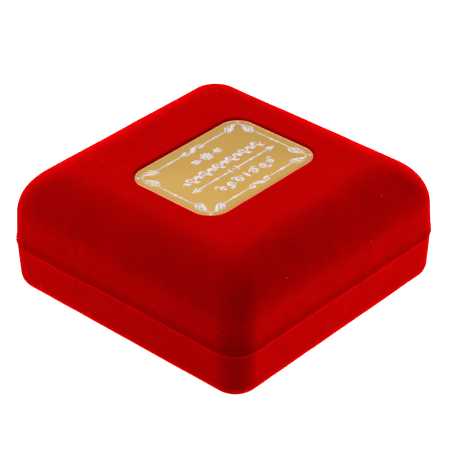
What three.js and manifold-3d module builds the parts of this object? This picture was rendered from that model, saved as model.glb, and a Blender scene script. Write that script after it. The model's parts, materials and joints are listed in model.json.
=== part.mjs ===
// A presentation case with its medal: a flocked base and domed lid on two sprung hinges,
// a formed insert that holds the medal, a padded lining in the lid and a name plate on top.
// Millimetres. +X is to the reader's right, -Y is the front, +Y the hinge side and +Z up.
// The origin is the centre of the underside. The case is closed.

import * as THREE from "three";
import { mergeVertices } from "three/addons/utils/BufferGeometryUtils.js";
import Module from "manifold-3d";

const wasm = await Module();
wasm.setup();

// Case, outside
const CASE_WIDTH = 100;
const CASE_DEPTH = 101.4;
const CASE_HEIGHT = 43.7;
const SEAM_HEIGHT = 17.4;
const SEAM_GAP = 0.3;
const CORNER_RADIUS = 9.2;

// Lid shell
const LID_WALL = 2.2;
const LID_TOP_WALL = 3.2;
const LID_WALL_HEIGHT = 9.9; // from the seam up to where the dome starts
const LID_DRAFT = 0.43;
const LID_ROUND_WIDTH = 16.4;
const LID_RIM_ROUND = 0.8;
const LID_CORNER_SHARE = 0.156; // how much of the inset the plan corners tighten by

// Base shell
const BASE_WALL = 2.2;
const BASE_FLOOR = 2;
const BASE_DRAFT = 0.5;
const BASE_ROUND_WIDTH = 5.4;
const BASE_ROUND_HEIGHT = 5.2;
const BASE_INNER_FILLET = 3.6;
const BASE_RIM_ROUND = 1.1;
const BASE_CORNER_SHARE = 0.94;
const POST_RADIUS = 2.2;
const POST_FOOT_RADIUS = 3;
const POST_INSET = 8.3;

// Name plate and its seat in the lid
const PLATE_WIDTH = 52.2;
const PLATE_DEPTH = 37.1;
const PLATE_THICKNESS = 0.8;
const PLATE_CORNER_RADIUS = 6.86;
const PLATE_CHAMFER = 0.15;
const PLATE_SEAT_DEPTH = 1.4;
const PLATE_SEAT_GAP = 0.4;

// Insert tray
const TRAY_SHEET = 1.2;
const TRAY_GAP = 0.4;
const TRAY_TOP_DROP = 1.5; // below the seam
const TRAY_COLLAR_RISE = 2; // above the seam
const TRAY_COLLAR_ROUND = 0.4;
const TRAY_SKIRT_DEPTH = 9.4; // below the tray's top face
const TRAY_EDGE_ROUND = 0.8;
const TRAY_INNER_FILLET = 0.6;
const RECESS_GAP = 0.5;
const WELL_RADIUS = 9;
const WELL_DEPTH = 8;
const WELL_FILLET = 3;

// Medal
const MEDAL_DIAMETER = 70;
const MEDAL_THICKNESS = 3;
const MEDAL_RIM_WIDTH = 2.4;
const MEDAL_RIM_ROUND = 0.6;
const MEDAL_FIELD_DROP = 1; // from the rim's top to the field
const MEDAL_BACK_DROP = 0.3;
const STAR_RADIUS = 11.5;
const STAR_RISE = 0.95;
const STAR_EDGE = 0.25;
const WREATH_RADIUS = 23.5;
const LEAF_LENGTH = 6.8;
const LEAF_WIDTH = 2.9;
const LEAF_RISE = 0.75;
const STEM_WIDTH = 0.9;
const STEM_RISE = 0.45;
const KNOT_RADIUS = 1.9;
const RELIEF_SINK = 0.2;

// Lid lining
const CARD_THICKNESS = 1.2;
const CARD_GAP = 0.4;
const CARD_BACK_ROOM = 7; // left free in front of the hinge wall for the hinges
const PAD_THICKNESS = 5.5;
const PAD_GAP = 0.3;
const PAD_INSET = 0.5;
const PAD_ROUND = 3.2;

// Hinges
const HINGE_SPACING = 48;
const HINGE_WIDTH = 16;
const HINGE_INSET = 1.6; // from the case's back face to the pin's axis
const HINGE_CLEARANCE = 0.4;
const KNUCKLE_RADIUS = 1.3;
const KNUCKLE_GAP = 0.3;
const LID_KNUCKLE_WIDTH = 5.7;
const PIN_RADIUS = 0.55;
const PIN_CLEARANCE = 0.12;
const PIN_HEAD_RADIUS = 1;
const PIN_HEAD_LENGTH = 0.5;
const HINGE_LEAF_THICKNESS = 0.6;
const HINGE_LEAF_LENGTH = 9.4;
const HINGE_LEAF_CORNER = 1.4;
const LIP_WIDTH = 6;
const LIP_REACH = 1.4;
const RIVET_SPACING = 10.6;
const RIVET_DROP = 5.6; // from the pin's axis
const RIVET_RADIUS = 0.6;
const RIVET_HEAD_RADIUS = 1.4;
const RIVET_HEAD_HEIGHT = 0.6;
const RIVET_GRIP = 1.3; // how far the shank reaches into the wall
const RIVET_CLEARANCE = 0.15;
const SPRING_WIDTH = 5;
const SPRING_THICKNESS = 0.35;
const SPRING_BOW = 5.2; // from the pin's axis to the middle of the bow
const SPRING_GAP = 0.3;
const SPRING_BEND = 0.7;
const BACK_BEVEL = (50 * Math.PI) / 180; // of each rim behind the pins, from level: the lid's stop

// How finely curves are cut
const CORNER_STEPS = 8;
const ROUND_STEPS = 10;
const EDGE_STEPS = 3;
const RECESS_SIDES = 48;
const WELL_SIDES = 24;
const SMALL_SIDES = 16;
const RIVET_SIDES = 12;
const OVERRUN = 1; // how far a cutter passes the face that it cuts
const MERGE_DISTANCE = 1e-4;

// Sizes that follow from those above
const BASE_RIM = SEAM_HEIGHT - SEAM_GAP / 2;
const LID_RIM = SEAM_HEIGHT + SEAM_GAP / 2;
const LID_ROUND_START = SEAM_HEIGHT + LID_WALL_HEIGHT;
const LID_ROUND_HEIGHT = CASE_HEIGHT - LID_ROUND_START;
const HINGE_Y = CASE_DEPTH / 2 - HINGE_INSET;
const TRAY_TOP = SEAM_HEIGHT - TRAY_TOP_DROP;
const TRAY_UNDERSIDE = TRAY_TOP - TRAY_SHEET;
const TRAY_INSET = BASE_WALL + TRAY_GAP;
const COLLAR_TOP = SEAM_HEIGHT + TRAY_COLLAR_RISE;
const RECESS_RADIUS = MEDAL_DIAMETER / 2 + RECESS_GAP;
const RECESS_FLOOR = TRAY_TOP - MEDAL_THICKNESS;
const CARD_CORNER_RADIUS = CORNER_RADIUS - LID_WALL - CARD_GAP;
const POCKET_HALF_WIDTH = HINGE_WIDTH / 2 + PIN_HEAD_LENGTH + PIN_CLEARANCE + HINGE_CLEARANCE;
const POCKET_FRONT = HINGE_Y - SPRING_BOW - SPRING_THICKNESS / 2 - HINGE_CLEARANCE;
const HINGE_PLACES = [
  ["left", -HINGE_SPACING / 2],
  ["right", HINGE_SPACING / 2],
];

// Materials
function material(color, roughness, metalness) {
  return new THREE.MeshStandardMaterial({ color, roughness, metalness });
}
const redFlock = () => material(0xa80410, 0.95, 0);
const goldPlate = () => material(0xcda54b, 0.35, 0.9);
const medalGold = () => material(0xd4a545, 0.25, 1);
const card = () => material(0xb9a98c, 0.9, 0);
const satin = () => material(0xf1ece2, 0.45, 0);
const brassedSteel = () => material(0xb98f3d, 0.35, 0.9);
const springSteel = () => material(0x8d9299, 0.3, 1);

// Turns a closed geometry into a solid that can be joined and cut.
function solid(geometry) {
  const bare = new THREE.BufferGeometry();
  bare.setAttribute("position", geometry.getAttribute("position"));
  bare.setIndex(geometry.index);
  const merged = mergeVertices(bare, MERGE_DISTANCE);
  return new wasm.Manifold(
    new wasm.Mesh({
      numProp: 3,
      vertProperties: new Float32Array(merged.attributes.position.array),
      triVerts: new Uint32Array(merged.index.array),
    }),
  );
}

// A named mesh of a solid.
function piece(name, shape, look) {
  const { vertProperties, triVerts } = shape.getMesh();
  const geometry = new THREE.BufferGeometry();
  geometry.setAttribute("position", new THREE.BufferAttribute(vertProperties, 3));
  geometry.setIndex(new THREE.BufferAttribute(triVerts, 1));
  geometry.computeVertexNormals();
  const mesh = new THREE.Mesh(geometry, look);
  mesh.name = name;
  return mesh;
}

// The points of a rounded rectangle, anticlockwise. back moves the +Y side alone.
function roundedOutline(halfWidth, halfDepth, radius, back = halfDepth) {
  const corners = [
    [halfWidth, back],
    [-halfWidth, back],
    [-halfWidth, -halfDepth],
    [halfWidth, -halfDepth],
  ];
  return corners.flatMap(([x, y], quarter) => {
    const centre = new THREE.Vector2(x - Math.sign(x) * radius, y - Math.sign(y) * radius);
    return Array.from({ length: CORNER_STEPS + 1 }, (_, step) => {
      const angle = ((quarter + step / CORNER_STEPS) * Math.PI) / 2;
      return new THREE.Vector2(Math.cos(angle), Math.sin(angle)).multiplyScalar(radius).add(centre);
    });
  });
}

// The case's outline drawn in by an inset, its corners tightened by a share of it.
function caseOutline(inset, cornerRadius) {
  return roundedOutline(CASE_WIDTH / 2 - inset, CASE_DEPTH / 2 - inset, cornerRadius);
}

// A closed skin through rings of points that go up, each { outline, z }.
function loft(rings) {
  const count = rings[0].outline.length;
  const positions = rings.flatMap(({ outline, z }) => outline.flatMap((p) => [p.x, p.y, z]));
  const index = [];
  for (let ring = 0; ring < rings.length - 1; ring++) {
    for (let i = 0; i < count; i++) {
      const a = ring * count + i;
      const b = ring * count + ((i + 1) % count);
      index.push(a, b, b + count, a, b + count, a + count);
    }
  }
  [0, rings.length - 1].forEach((ring, end) => {
    const { outline, z } = rings[ring];
    const middle = outline.reduce((sum, p) => sum.add(p), new THREE.Vector2()).divideScalar(count);
    const hub = positions.length / 3;
    positions.push(middle.x, middle.y, z);
    for (let i = 0; i < count; i++) {
      const a = ring * count + i;
      const b = ring * count + ((i + 1) % count);
      index.push(hub, end ? a : b, end ? b : a);
    }
  });
  const geometry = new THREE.BufferGeometry();
  geometry.setAttribute("position", new THREE.Float32BufferAttribute(positions, 3));
  geometry.setIndex(index);
  return solid(geometry);
}

// Steps of a quarter turn from 0 to 90 degrees.
function quarterTurn(steps) {
  return Array.from({ length: steps + 1 }, (_, step) => ((step / steps) * Math.PI) / 2);
}

// A box from its lowest to its highest corner.
function block(low, high) {
  const size = new THREE.Vector3().subVectors(high, low);
  const geometry = new THREE.BoxGeometry(size.x, size.y, size.z);
  const middle = new THREE.Vector3().addVectors(low, high).multiplyScalar(0.5);
  return solid(geometry.translate(middle.x, middle.y, middle.z));
}

// A solid of revolution about +Z through (x, y), from [radius, z] points that start and end on the axis.
function turned(profile, sides, x = 0, y = 0) {
  const points = profile.map(([radius, z]) => new THREE.Vector2(radius, z));
  const geometry = new THREE.LatheGeometry(points, sides);
  return solid(geometry.rotateX(Math.PI / 2).translate(x, y, 0));
}

// A round bar along X from one place to another, about the line y = 0, z = 0.
function barAlongX(radius, from, to, sides) {
  const geometry = new THREE.CylinderGeometry(radius, radius, to - from, sides);
  return solid(geometry.rotateZ(Math.PI / 2).translate((from + to) / 2, 0, 0));
}

// A shape drawn in Y and Z, given thickness along X, centred on x = 0.
function extrudeAlongX(shape, width) {
  const geometry = new THREE.ExtrudeGeometry(shape, { depth: width, bevelEnabled: false });
  const turn = new THREE.Matrix4().makeBasis(
    new THREE.Vector3(0, 1, 0),
    new THREE.Vector3(0, 0, 1),
    new THREE.Vector3(1, 0, 0),
  );
  return solid(geometry.applyMatrix4(turn).translate(-width / 2, 0, 0));
}

// The wedge taken off both rims behind the hinge line, so that the lid can fall back to its stop.
function backBevel() {
  const reach = HINGE_INSET + OVERRUN;
  const rise = reach * Math.tan(BACK_BEVEL);
  const wedge = new THREE.Shape([
    new THREE.Vector2(HINGE_Y, SEAM_HEIGHT),
    new THREE.Vector2(HINGE_Y + reach, SEAM_HEIGHT - rise),
    new THREE.Vector2(HINGE_Y + reach, SEAM_HEIGHT + rise),
  ]);
  return extrudeAlongX(wedge, CASE_WIDTH);
}

// The gap in a shell's back wall that a hinge's knuckles turn in.
function knuckleGap(x, low, high) {
  return block(
    new THREE.Vector3(x - POCKET_HALF_WIDTH, POCKET_FRONT, low),
    new THREE.Vector3(x + POCKET_HALF_WIDTH, CASE_DEPTH / 2 + OVERRUN, high),
  );
}

// The blind holes of one leaf's rivets, in the inner face of the back wall.
function rivetHoles(x, wall, direction) {
  const length = RIVET_GRIP + RIVET_CLEARANCE + OVERRUN;
  const start = CASE_DEPTH / 2 - wall - OVERRUN;
  return [-1, 1].map((side) =>
    solid(
      new THREE.CylinderGeometry(
        RIVET_RADIUS + RIVET_CLEARANCE,
        RIVET_RADIUS + RIVET_CLEARANCE,
        length,
        RIVET_SIDES,
      ).translate(
        x + (side * RIVET_SPACING) / 2,
        start + length / 2,
        SEAM_HEIGHT + direction * RIVET_DROP,
      ),
    ),
  );
}

// Outside of the base: rounded underside, drafted wall and rounded rim.
function baseOutside() {
  const wallInset = (z) => (BASE_DRAFT * (BASE_RIM - z)) / (BASE_RIM - BASE_ROUND_HEIGHT);
  const ring = (inset, z) => ({
    outline: caseOutline(inset, CORNER_RADIUS - BASE_CORNER_SHARE * inset),
    z,
  });
  const foot = quarterTurn(ROUND_STEPS).map((angle) =>
    ring(
      BASE_DRAFT + BASE_ROUND_WIDTH * (1 - Math.sin(angle)),
      BASE_ROUND_HEIGHT * (1 - Math.cos(angle)),
    ),
  );
  const rim = quarterTurn(EDGE_STEPS).map((angle) => {
    const z = BASE_RIM - BASE_RIM_ROUND * (1 - Math.sin(angle));
    return ring(wallInset(z) + BASE_RIM_ROUND * (1 - Math.cos(angle)), z);
  });
  return loft([...foot, ...rim]);
}

// Hollow of the base, rounded where the wall meets the floor.
function baseInside() {
  const radius = CORNER_RADIUS - BASE_WALL;
  const fillet = quarterTurn(EDGE_STEPS + 1).map((angle) => {
    const inset = BASE_INNER_FILLET * (1 - Math.sin(angle));
    return {
      outline: caseOutline(BASE_WALL + inset, radius - BASE_CORNER_SHARE * inset),
      z: BASE_FLOOR + BASE_INNER_FILLET * (1 - Math.cos(angle)),
    };
  });
  return loft([...fillet, { outline: caseOutline(BASE_WALL, radius), z: BASE_RIM + OVERRUN }]);
}

// The four tapered posts that the tray rests on.
function trayPosts() {
  const x = CASE_WIDTH / 2 - BASE_WALL - POST_INSET;
  const y = CASE_DEPTH / 2 - BASE_WALL - POST_INSET;
  const sunk = BASE_FLOOR / 2;
  const profile = [
    [0, BASE_FLOOR - sunk],
    [POST_FOOT_RADIUS, BASE_FLOOR - sunk],
    [POST_FOOT_RADIUS, BASE_FLOOR],
    [POST_RADIUS, TRAY_UNDERSIDE],
    [0, TRAY_UNDERSIDE],
  ];
  return [-1, 1].flatMap((sx) => [-1, 1].map((sy) => turned(profile, SMALL_SIDES, sx * x, sy * y)));
}

function baseShell() {
  let shell = baseOutside().subtract(baseInside()).subtract(backBevel());
  for (const post of trayPosts()) shell = shell.add(post);
  for (const [, x] of HINGE_PLACES) {
    shell = shell.subtract(
      knuckleGap(x, SEAM_HEIGHT - KNUCKLE_RADIUS - HINGE_CLEARANCE, SEAM_HEIGHT + OVERRUN),
    );
    for (const hole of rivetHoles(x, BASE_WALL, -1)) shell = shell.subtract(hole);
  }
  return piece("base_shell", shell, redFlock());
}

// Outside of the lid: rounded rim, drafted wall and domed shoulder up to the flat top.
function lidOutside() {
  const wallInset = (z) => (LID_DRAFT * (z - LID_RIM)) / (LID_ROUND_START - LID_RIM);
  const ring = (inset, z) => ({
    outline: caseOutline(inset, CORNER_RADIUS - LID_CORNER_SHARE * inset),
    z,
  });
  const rim = quarterTurn(EDGE_STEPS).map((angle) => {
    const z = LID_RIM + LID_RIM_ROUND * (1 - Math.cos(angle));
    return ring(wallInset(z) + LID_RIM_ROUND * (1 - Math.sin(angle)), z);
  });
  const shoulder = quarterTurn(ROUND_STEPS).map((angle) =>
    ring(
      LID_DRAFT + LID_ROUND_WIDTH * (1 - Math.cos(angle)),
      LID_ROUND_START + LID_ROUND_HEIGHT * Math.sin(angle),
    ),
  );
  return loft([...rim, ...shoulder]);
}

// Hollow of the lid, following the dome.
function lidInside() {
  const ring = (inset, z) => ({
    outline: caseOutline(inset, CORNER_RADIUS - LID_WALL - LID_CORNER_SHARE * (inset - LID_WALL)),
    z,
  });
  const width = LID_ROUND_WIDTH - LID_WALL;
  const height = LID_ROUND_HEIGHT - LID_TOP_WALL;
  const shoulder = quarterTurn(ROUND_STEPS).map((angle) =>
    ring(LID_WALL + width * (1 - Math.cos(angle)), LID_ROUND_START + height * Math.sin(angle)),
  );
  return loft([ring(LID_WALL, LID_RIM - OVERRUN), ...shoulder]);
}

// The sunk seat that the name plate lies in.
function plateSeat() {
  const outline = roundedOutline(
    PLATE_WIDTH / 2 + PLATE_SEAT_GAP,
    PLATE_DEPTH / 2 + PLATE_SEAT_GAP,
    PLATE_CORNER_RADIUS + PLATE_SEAT_GAP,
  );
  return loft([
    { outline, z: CASE_HEIGHT - PLATE_SEAT_DEPTH },
    { outline, z: CASE_HEIGHT + OVERRUN },
  ]);
}

function lidShell() {
  let shell = lidOutside().subtract(lidInside()).subtract(backBevel()).subtract(plateSeat());
  for (const [, x] of HINGE_PLACES) {
    shell = shell.subtract(
      knuckleGap(x, SEAM_HEIGHT - OVERRUN, SEAM_HEIGHT + KNUCKLE_RADIUS + HINGE_CLEARANCE),
    );
    for (const hole of rivetHoles(x, LID_WALL, 1)) shell = shell.subtract(hole);
  }
  return piece("lid_shell", shell, redFlock());
}

function namePlate() {
  const ring = (inset, z) => ({
    outline: roundedOutline(
      PLATE_WIDTH / 2 - inset,
      PLATE_DEPTH / 2 - inset,
      PLATE_CORNER_RADIUS - inset,
    ),
    z,
  });
  const bottom = CASE_HEIGHT - PLATE_SEAT_DEPTH;
  const top = bottom + PLATE_THICKNESS;
  return piece(
    "name_plate",
    loft([ring(0, bottom), ring(0, top - PLATE_CHAMFER), ring(PLATE_CHAMFER, top)]),
    goldPlate(),
  );
}

// The room round a hinge that the tray's pocket leaves, grown by the sheet for the pocket's walls.
function hingePocket(x, growth) {
  return block(
    new THREE.Vector3(x - POCKET_HALF_WIDTH - growth, POCKET_FRONT - growth, 0),
    new THREE.Vector3(x + POCKET_HALF_WIDTH + growth, CASE_DEPTH / 2, COLLAR_TOP + OVERRUN),
  );
}

// A round sink in the tray with a rounded mouth and foot.
function sink(radius, floor, fillet, sides, x) {
  const foot = quarterTurn(EDGE_STEPS).map((angle) => [
    radius - fillet * (1 - Math.sin(angle)),
    floor + fillet * (1 - Math.cos(angle)),
  ]);
  const mouth = quarterTurn(EDGE_STEPS).map((angle) => [
    radius + TRAY_EDGE_ROUND * (1 - Math.cos(angle)),
    TRAY_TOP - TRAY_EDGE_ROUND * (1 - Math.sin(angle)),
  ]);
  const top = TRAY_TOP + OVERRUN;
  const profile = [[0, floor], ...foot, ...mouth, [radius + TRAY_EDGE_ROUND, top], [0, top]];
  return turned(profile, sides, x);
}

// What the sheet takes up round a sink below the tray's top.
function sinkBody(radius, floor, fillet, sides, x) {
  const outer = radius + TRAY_SHEET;
  const low = floor - TRAY_SHEET;
  const round = fillet + TRAY_SHEET;
  const foot = quarterTurn(EDGE_STEPS).map((angle) => [
    outer - round * (1 - Math.sin(angle)),
    low + round * (1 - Math.cos(angle)),
  ]);
  const shoulder = [outer + TRAY_EDGE_ROUND, TRAY_TOP];
  return turned([[0, low], ...foot, [outer, TRAY_UNDERSIDE], shoulder, [0, TRAY_TOP]], sides, x);
}

function insertTray() {
  const radius = CORNER_RADIUS - TRAY_INSET;
  const ring = (inset, z) => ({
    outline: caseOutline(TRAY_INSET + inset, radius - inset),
    z,
  });
  const foot = TRAY_TOP - TRAY_SKIRT_DEPTH;
  const collar = quarterTurn(EDGE_STEPS).map((angle) =>
    ring(
      TRAY_COLLAR_ROUND * (1 - Math.cos(angle)),
      COLLAR_TOP - TRAY_COLLAR_ROUND * (1 - Math.sin(angle)),
    ),
  );
  const wellX = MEDAL_DIAMETER / 2;
  const wellFloor = TRAY_TOP - WELL_DEPTH;
  const sinks = [
    [RECESS_RADIUS, RECESS_FLOOR, TRAY_INNER_FILLET, RECESS_SIDES, 0],
    [WELL_RADIUS, wellFloor, WELL_FILLET, WELL_SIDES, -wellX],
    [WELL_RADIUS, wellFloor, WELL_FILLET, WELL_SIDES, wellX],
  ];
  let above = loft([ring(TRAY_SHEET, TRAY_TOP), ring(TRAY_SHEET, COLLAR_TOP + OVERRUN)]);
  let below = loft([ring(TRAY_SHEET, foot - OVERRUN), ring(TRAY_SHEET, TRAY_UNDERSIDE)]);
  for (const values of sinks) below = below.subtract(sinkBody(...values));
  for (const [, x] of HINGE_PLACES) {
    above = above.subtract(hingePocket(x, TRAY_SHEET));
    below = below.subtract(hingePocket(x, TRAY_SHEET));
  }
  let tray = loft([ring(0, foot), ...collar]).subtract(above).subtract(below);
  for (const values of sinks) tray = tray.subtract(sink(...values));
  for (const [, x] of HINGE_PLACES) tray = tray.subtract(hingePocket(x, 0));
  return piece("insert_tray", tray, redFlock());
}

// The struck blank: raised rounded rim, sunk field in front and a slight one behind.
function medalBlank() {
  const radius = MEDAL_DIAMETER / 2;
  const inner = radius - MEDAL_RIM_WIDTH;
  const top = RECESS_FLOOR + MEDAL_THICKNESS;
  const round = MEDAL_RIM_ROUND;
  const lowEdge = quarterTurn(EDGE_STEPS).map((angle) => [
    radius - round * (1 - Math.sin(angle)),
    RECESS_FLOOR + round * (1 - Math.cos(angle)),
  ]);
  const highEdge = quarterTurn(EDGE_STEPS).map((angle) => [
    radius - round * (1 - Math.cos(angle)),
    top - round * (1 - Math.sin(angle)),
  ]);
  const profile = [
    [0, RECESS_FLOOR + MEDAL_BACK_DROP],
    [inner - MEDAL_BACK_DROP, RECESS_FLOOR + MEDAL_BACK_DROP],
    [inner, RECESS_FLOOR],
    ...lowEdge,
    ...highEdge,
    [inner + round, top],
    [inner, top - round],
    [inner - round, top - MEDAL_FIELD_DROP],
    [0, top - MEDAL_FIELD_DROP],
  ];
  return turned(profile, RECESS_SIDES);
}

// A five-pointed star whose ridges fall from its middle to its points.
function star(field) {
  const points = 5;
  const innerShare = Math.sin(Math.PI / 10) / Math.sin((3 * Math.PI) / 10);
  const outline = Array.from({ length: 2 * points }, (_, i) => {
    const angle = Math.PI / 2 + (i * Math.PI) / points;
    const radius = STAR_RADIUS * (i % 2 ? innerShare : 1);
    return new THREE.Vector2(Math.cos(angle), Math.sin(angle)).multiplyScalar(radius);
  });
  const peakShare = 0.02;
  const peak = outline.map((p) => p.clone().multiplyScalar(peakShare));
  return loft([
    { outline, z: field - RELIEF_SINK },
    { outline, z: field + STAR_EDGE },
    { outline: peak, z: field + STAR_RISE },
  ]);
}

// One leaf of the wreath: a flat spindle with a ridge down its middle.
function wreathLeaf(x, y, heading, field) {
  const geometry = new THREE.SphereGeometry(1, 4, 4);
  const place = new THREE.Matrix4().compose(
    new THREE.Vector3(x, y, field),
    new THREE.Quaternion().setFromEuler(new THREE.Euler(0, 0, heading)),
    new THREE.Vector3(LEAF_LENGTH / 2, LEAF_WIDTH / 2, LEAF_RISE),
  );
  return solid(geometry.rotateZ(Math.PI / 2).applyMatrix4(place));
}

// Two laurel branches that meet at a knot at the bottom and leave the top open.
function wreath(field) {
  const pairs = 12;
  const startAngle = 0.1;
  const endAngle = 2.55;
  const spreadAngle = 0.48;
  const outwardShare = 0.3;
  const parts = [];
  for (const side of [-1, 1]) {
    for (let i = 0; i < pairs; i++) {
      const turn = startAngle + ((endAngle - startAngle) * (i + 1)) / pairs;
      const angle = -Math.PI / 2 + side * turn;
      const along = angle + (side * Math.PI) / 2;
      for (const row of [-1, 1]) {
        const radius = WREATH_RADIUS + row * outwardShare * LEAF_LENGTH;
        const heading = along - side * row * spreadAngle;
        parts.push(
          wreathLeaf(radius * Math.cos(angle), radius * Math.sin(angle), heading, field),
        );
      }
    }
    parts.push(stem(side, endAngle, field));
  }
  const knot = new THREE.SphereGeometry(KNOT_RADIUS, 10, 6);
  const flat = LEAF_RISE / KNOT_RADIUS;
  parts.push(solid(knot.scale(1, 1, flat).translate(0, -WREATH_RADIUS, field)));
  return parts;
}

// The stem under one branch's leaves.
function stem(side, endAngle, field) {
  const steps = 12;
  const low = WREATH_RADIUS - STEM_WIDTH / 2;
  const high = WREATH_RADIUS + STEM_WIDTH / 2;
  const edge = (radius, reverse) => {
    const points = Array.from({ length: steps + 1 }, (_, i) => {
      const angle = -Math.PI / 2 + (side * endAngle * i) / steps;
      return new THREE.Vector2(radius * Math.cos(angle), radius * Math.sin(angle));
    });
    return reverse ? points.reverse() : points;
  };
  const shape = new THREE.Shape([...edge(high, false), ...edge(low, true)]);
  const depth = STEM_RISE + RELIEF_SINK;
  const geometry = new THREE.ExtrudeGeometry(shape, { depth, bevelEnabled: false });
  return solid(geometry.translate(0, 0, field - RELIEF_SINK));
}

function medal() {
  const field = RECESS_FLOOR + MEDAL_THICKNESS - MEDAL_FIELD_DROP;
  let body = medalBlank().add(star(field));
  for (const part of wreath(field)) body = body.add(part);
  return piece("medal", body, medalGold());
}

// The lining's outline: it stops short of the hinge wall.
function liningOutline(inset, radius) {
  const side = LID_WALL + CARD_GAP + inset;
  return roundedOutline(
    CASE_WIDTH / 2 - side,
    CASE_DEPTH / 2 - side,
    radius,
    CASE_DEPTH / 2 - LID_WALL - CARD_BACK_ROOM - inset,
  );
}

function lidCard() {
  const outline = liningOutline(0, CARD_CORNER_RADIUS);
  const top = LID_ROUND_START + CARD_GAP;
  return piece("lid_card", loft([{ outline, z: top - CARD_THICKNESS }, { outline, z: top }]), card());
}

// The satin pad: drawn-in sides, a rounded edge and a crown towards the medal.
function lidPad() {
  const top = LID_ROUND_START + CARD_GAP - CARD_THICKNESS - PAD_GAP;
  const crownHeight = PAD_THICKNESS - PAD_ROUND;
  const crownShares = [0.06, 0.2, 0.35, 0.5, 0.65, 0.8, 0.92];
  const edge = quarterTurn(EDGE_STEPS + 1).map((angle) => ({
    outline: liningOutline(PAD_INSET + PAD_ROUND * (1 - Math.sin(angle)), CARD_CORNER_RADIUS),
    z: top - PAD_ROUND * Math.cos(angle),
  }));
  const rim = edge[0].outline;
  const middle = rim.reduce((sum, p) => sum.add(p), new THREE.Vector2()).divideScalar(rim.length);
  const crown = crownShares.map((share) => ({
    outline: rim.map((p) => p.clone().sub(middle).multiplyScalar(share).add(middle)),
    z: top - PAD_ROUND - crownHeight * (1 - share * share),
  }));
  return piece("lid_pad", loft([...crown, ...edge]), satin());
}

// Which stretches of the hinge's width each leaf's knuckles take.
function knuckleSpans(direction) {
  const middle = LID_KNUCKLE_WIDTH / 2;
  const outer = HINGE_WIDTH / 2;
  if (direction > 0) return [[-middle, middle]];
  return [
    [-outer, -middle - KNUCKLE_GAP],
    [middle + KNUCKLE_GAP, outer],
  ];
}

// One leaf about the pin's axis, direction -1 down the base's wall or 1 up the lid's wall.
function hingeLeaf(direction, wall) {
  const face = wall - HINGE_INSET;
  const half = HINGE_WIDTH / 2;
  const end = HINGE_LEAF_LENGTH;
  const corner = HINGE_LEAF_CORNER;
  const outline = new THREE.Shape();
  outline.moveTo(-half, 0);
  outline.lineTo(half, 0);
  outline.lineTo(half, end - corner);
  outline.quadraticCurveTo(half, end, half - corner, end);
  outline.lineTo(corner - half, end);
  outline.quadraticCurveTo(-half, end, -half, end - corner);
  for (const side of [-1, 1]) {
    const hole = new THREE.Path();
    const radius = RIVET_RADIUS + RIVET_CLEARANCE;
    hole.absarc((side * RIVET_SPACING) / 2, RIVET_DROP, radius, 0, 2 * Math.PI, true);
    outline.holes.push(hole);
  }
  const sheet = new THREE.ExtrudeGeometry(outline, {
    depth: HINGE_LEAF_THICKNESS,
    bevelEnabled: false,
    curveSegments: EDGE_STEPS,
  });
  sheet.rotateX(Math.PI / 2).translate(0, -face, 0);
  let leaf = solid(sheet);
  const lipEnd = face + HINGE_LEAF_THICKNESS + LIP_REACH;
  leaf = leaf.add(
    block(
      new THREE.Vector3(-LIP_WIDTH / 2, -lipEnd, end - HINGE_LEAF_THICKNESS),
      new THREE.Vector3(LIP_WIDTH / 2, -face - HINGE_LEAF_THICKNESS / 2, end),
    ),
  );
  for (const [from, to] of knuckleSpans(direction)) {
    leaf = leaf.add(barAlongX(KNUCKLE_RADIUS, from, to, SMALL_SIDES));
  }
  const room = KNUCKLE_RADIUS + HINGE_CLEARANCE;
  for (const [from, to] of knuckleSpans(-direction)) {
    const low = from <= -half ? from - OVERRUN : from - KNUCKLE_GAP;
    const high = to >= half ? to + OVERRUN : to + KNUCKLE_GAP;
    leaf = leaf.subtract(
      block(new THREE.Vector3(low, -room - OVERRUN, -room), new THREE.Vector3(high, room, room)),
    );
  }
  leaf = leaf.subtract(
    barAlongX(PIN_RADIUS + PIN_CLEARANCE, -half - OVERRUN, half + OVERRUN, SMALL_SIDES),
  );
  return direction > 0 ? leaf : leaf.mirror([0, 0, 1]);
}

// The pin with a head at each end, along X.
function hingePin() {
  const half = HINGE_WIDTH / 2 + PIN_CLEARANCE;
  const end = half + PIN_HEAD_LENGTH;
  const points = [
    [0, -end],
    [PIN_RADIUS, -end],
    [PIN_HEAD_RADIUS, -half - PIN_HEAD_LENGTH / 2],
    [PIN_HEAD_RADIUS, -half],
    [PIN_RADIUS, -half],
    [PIN_RADIUS, half],
    [PIN_HEAD_RADIUS, half],
    [PIN_HEAD_RADIUS, half + PIN_HEAD_LENGTH / 2],
    [PIN_RADIUS, end],
    [0, end],
  ].map(([radius, x]) => new THREE.Vector2(radius, x));
  return solid(new THREE.LatheGeometry(points, SMALL_SIDES).rotateZ(Math.PI / 2));
}

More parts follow.
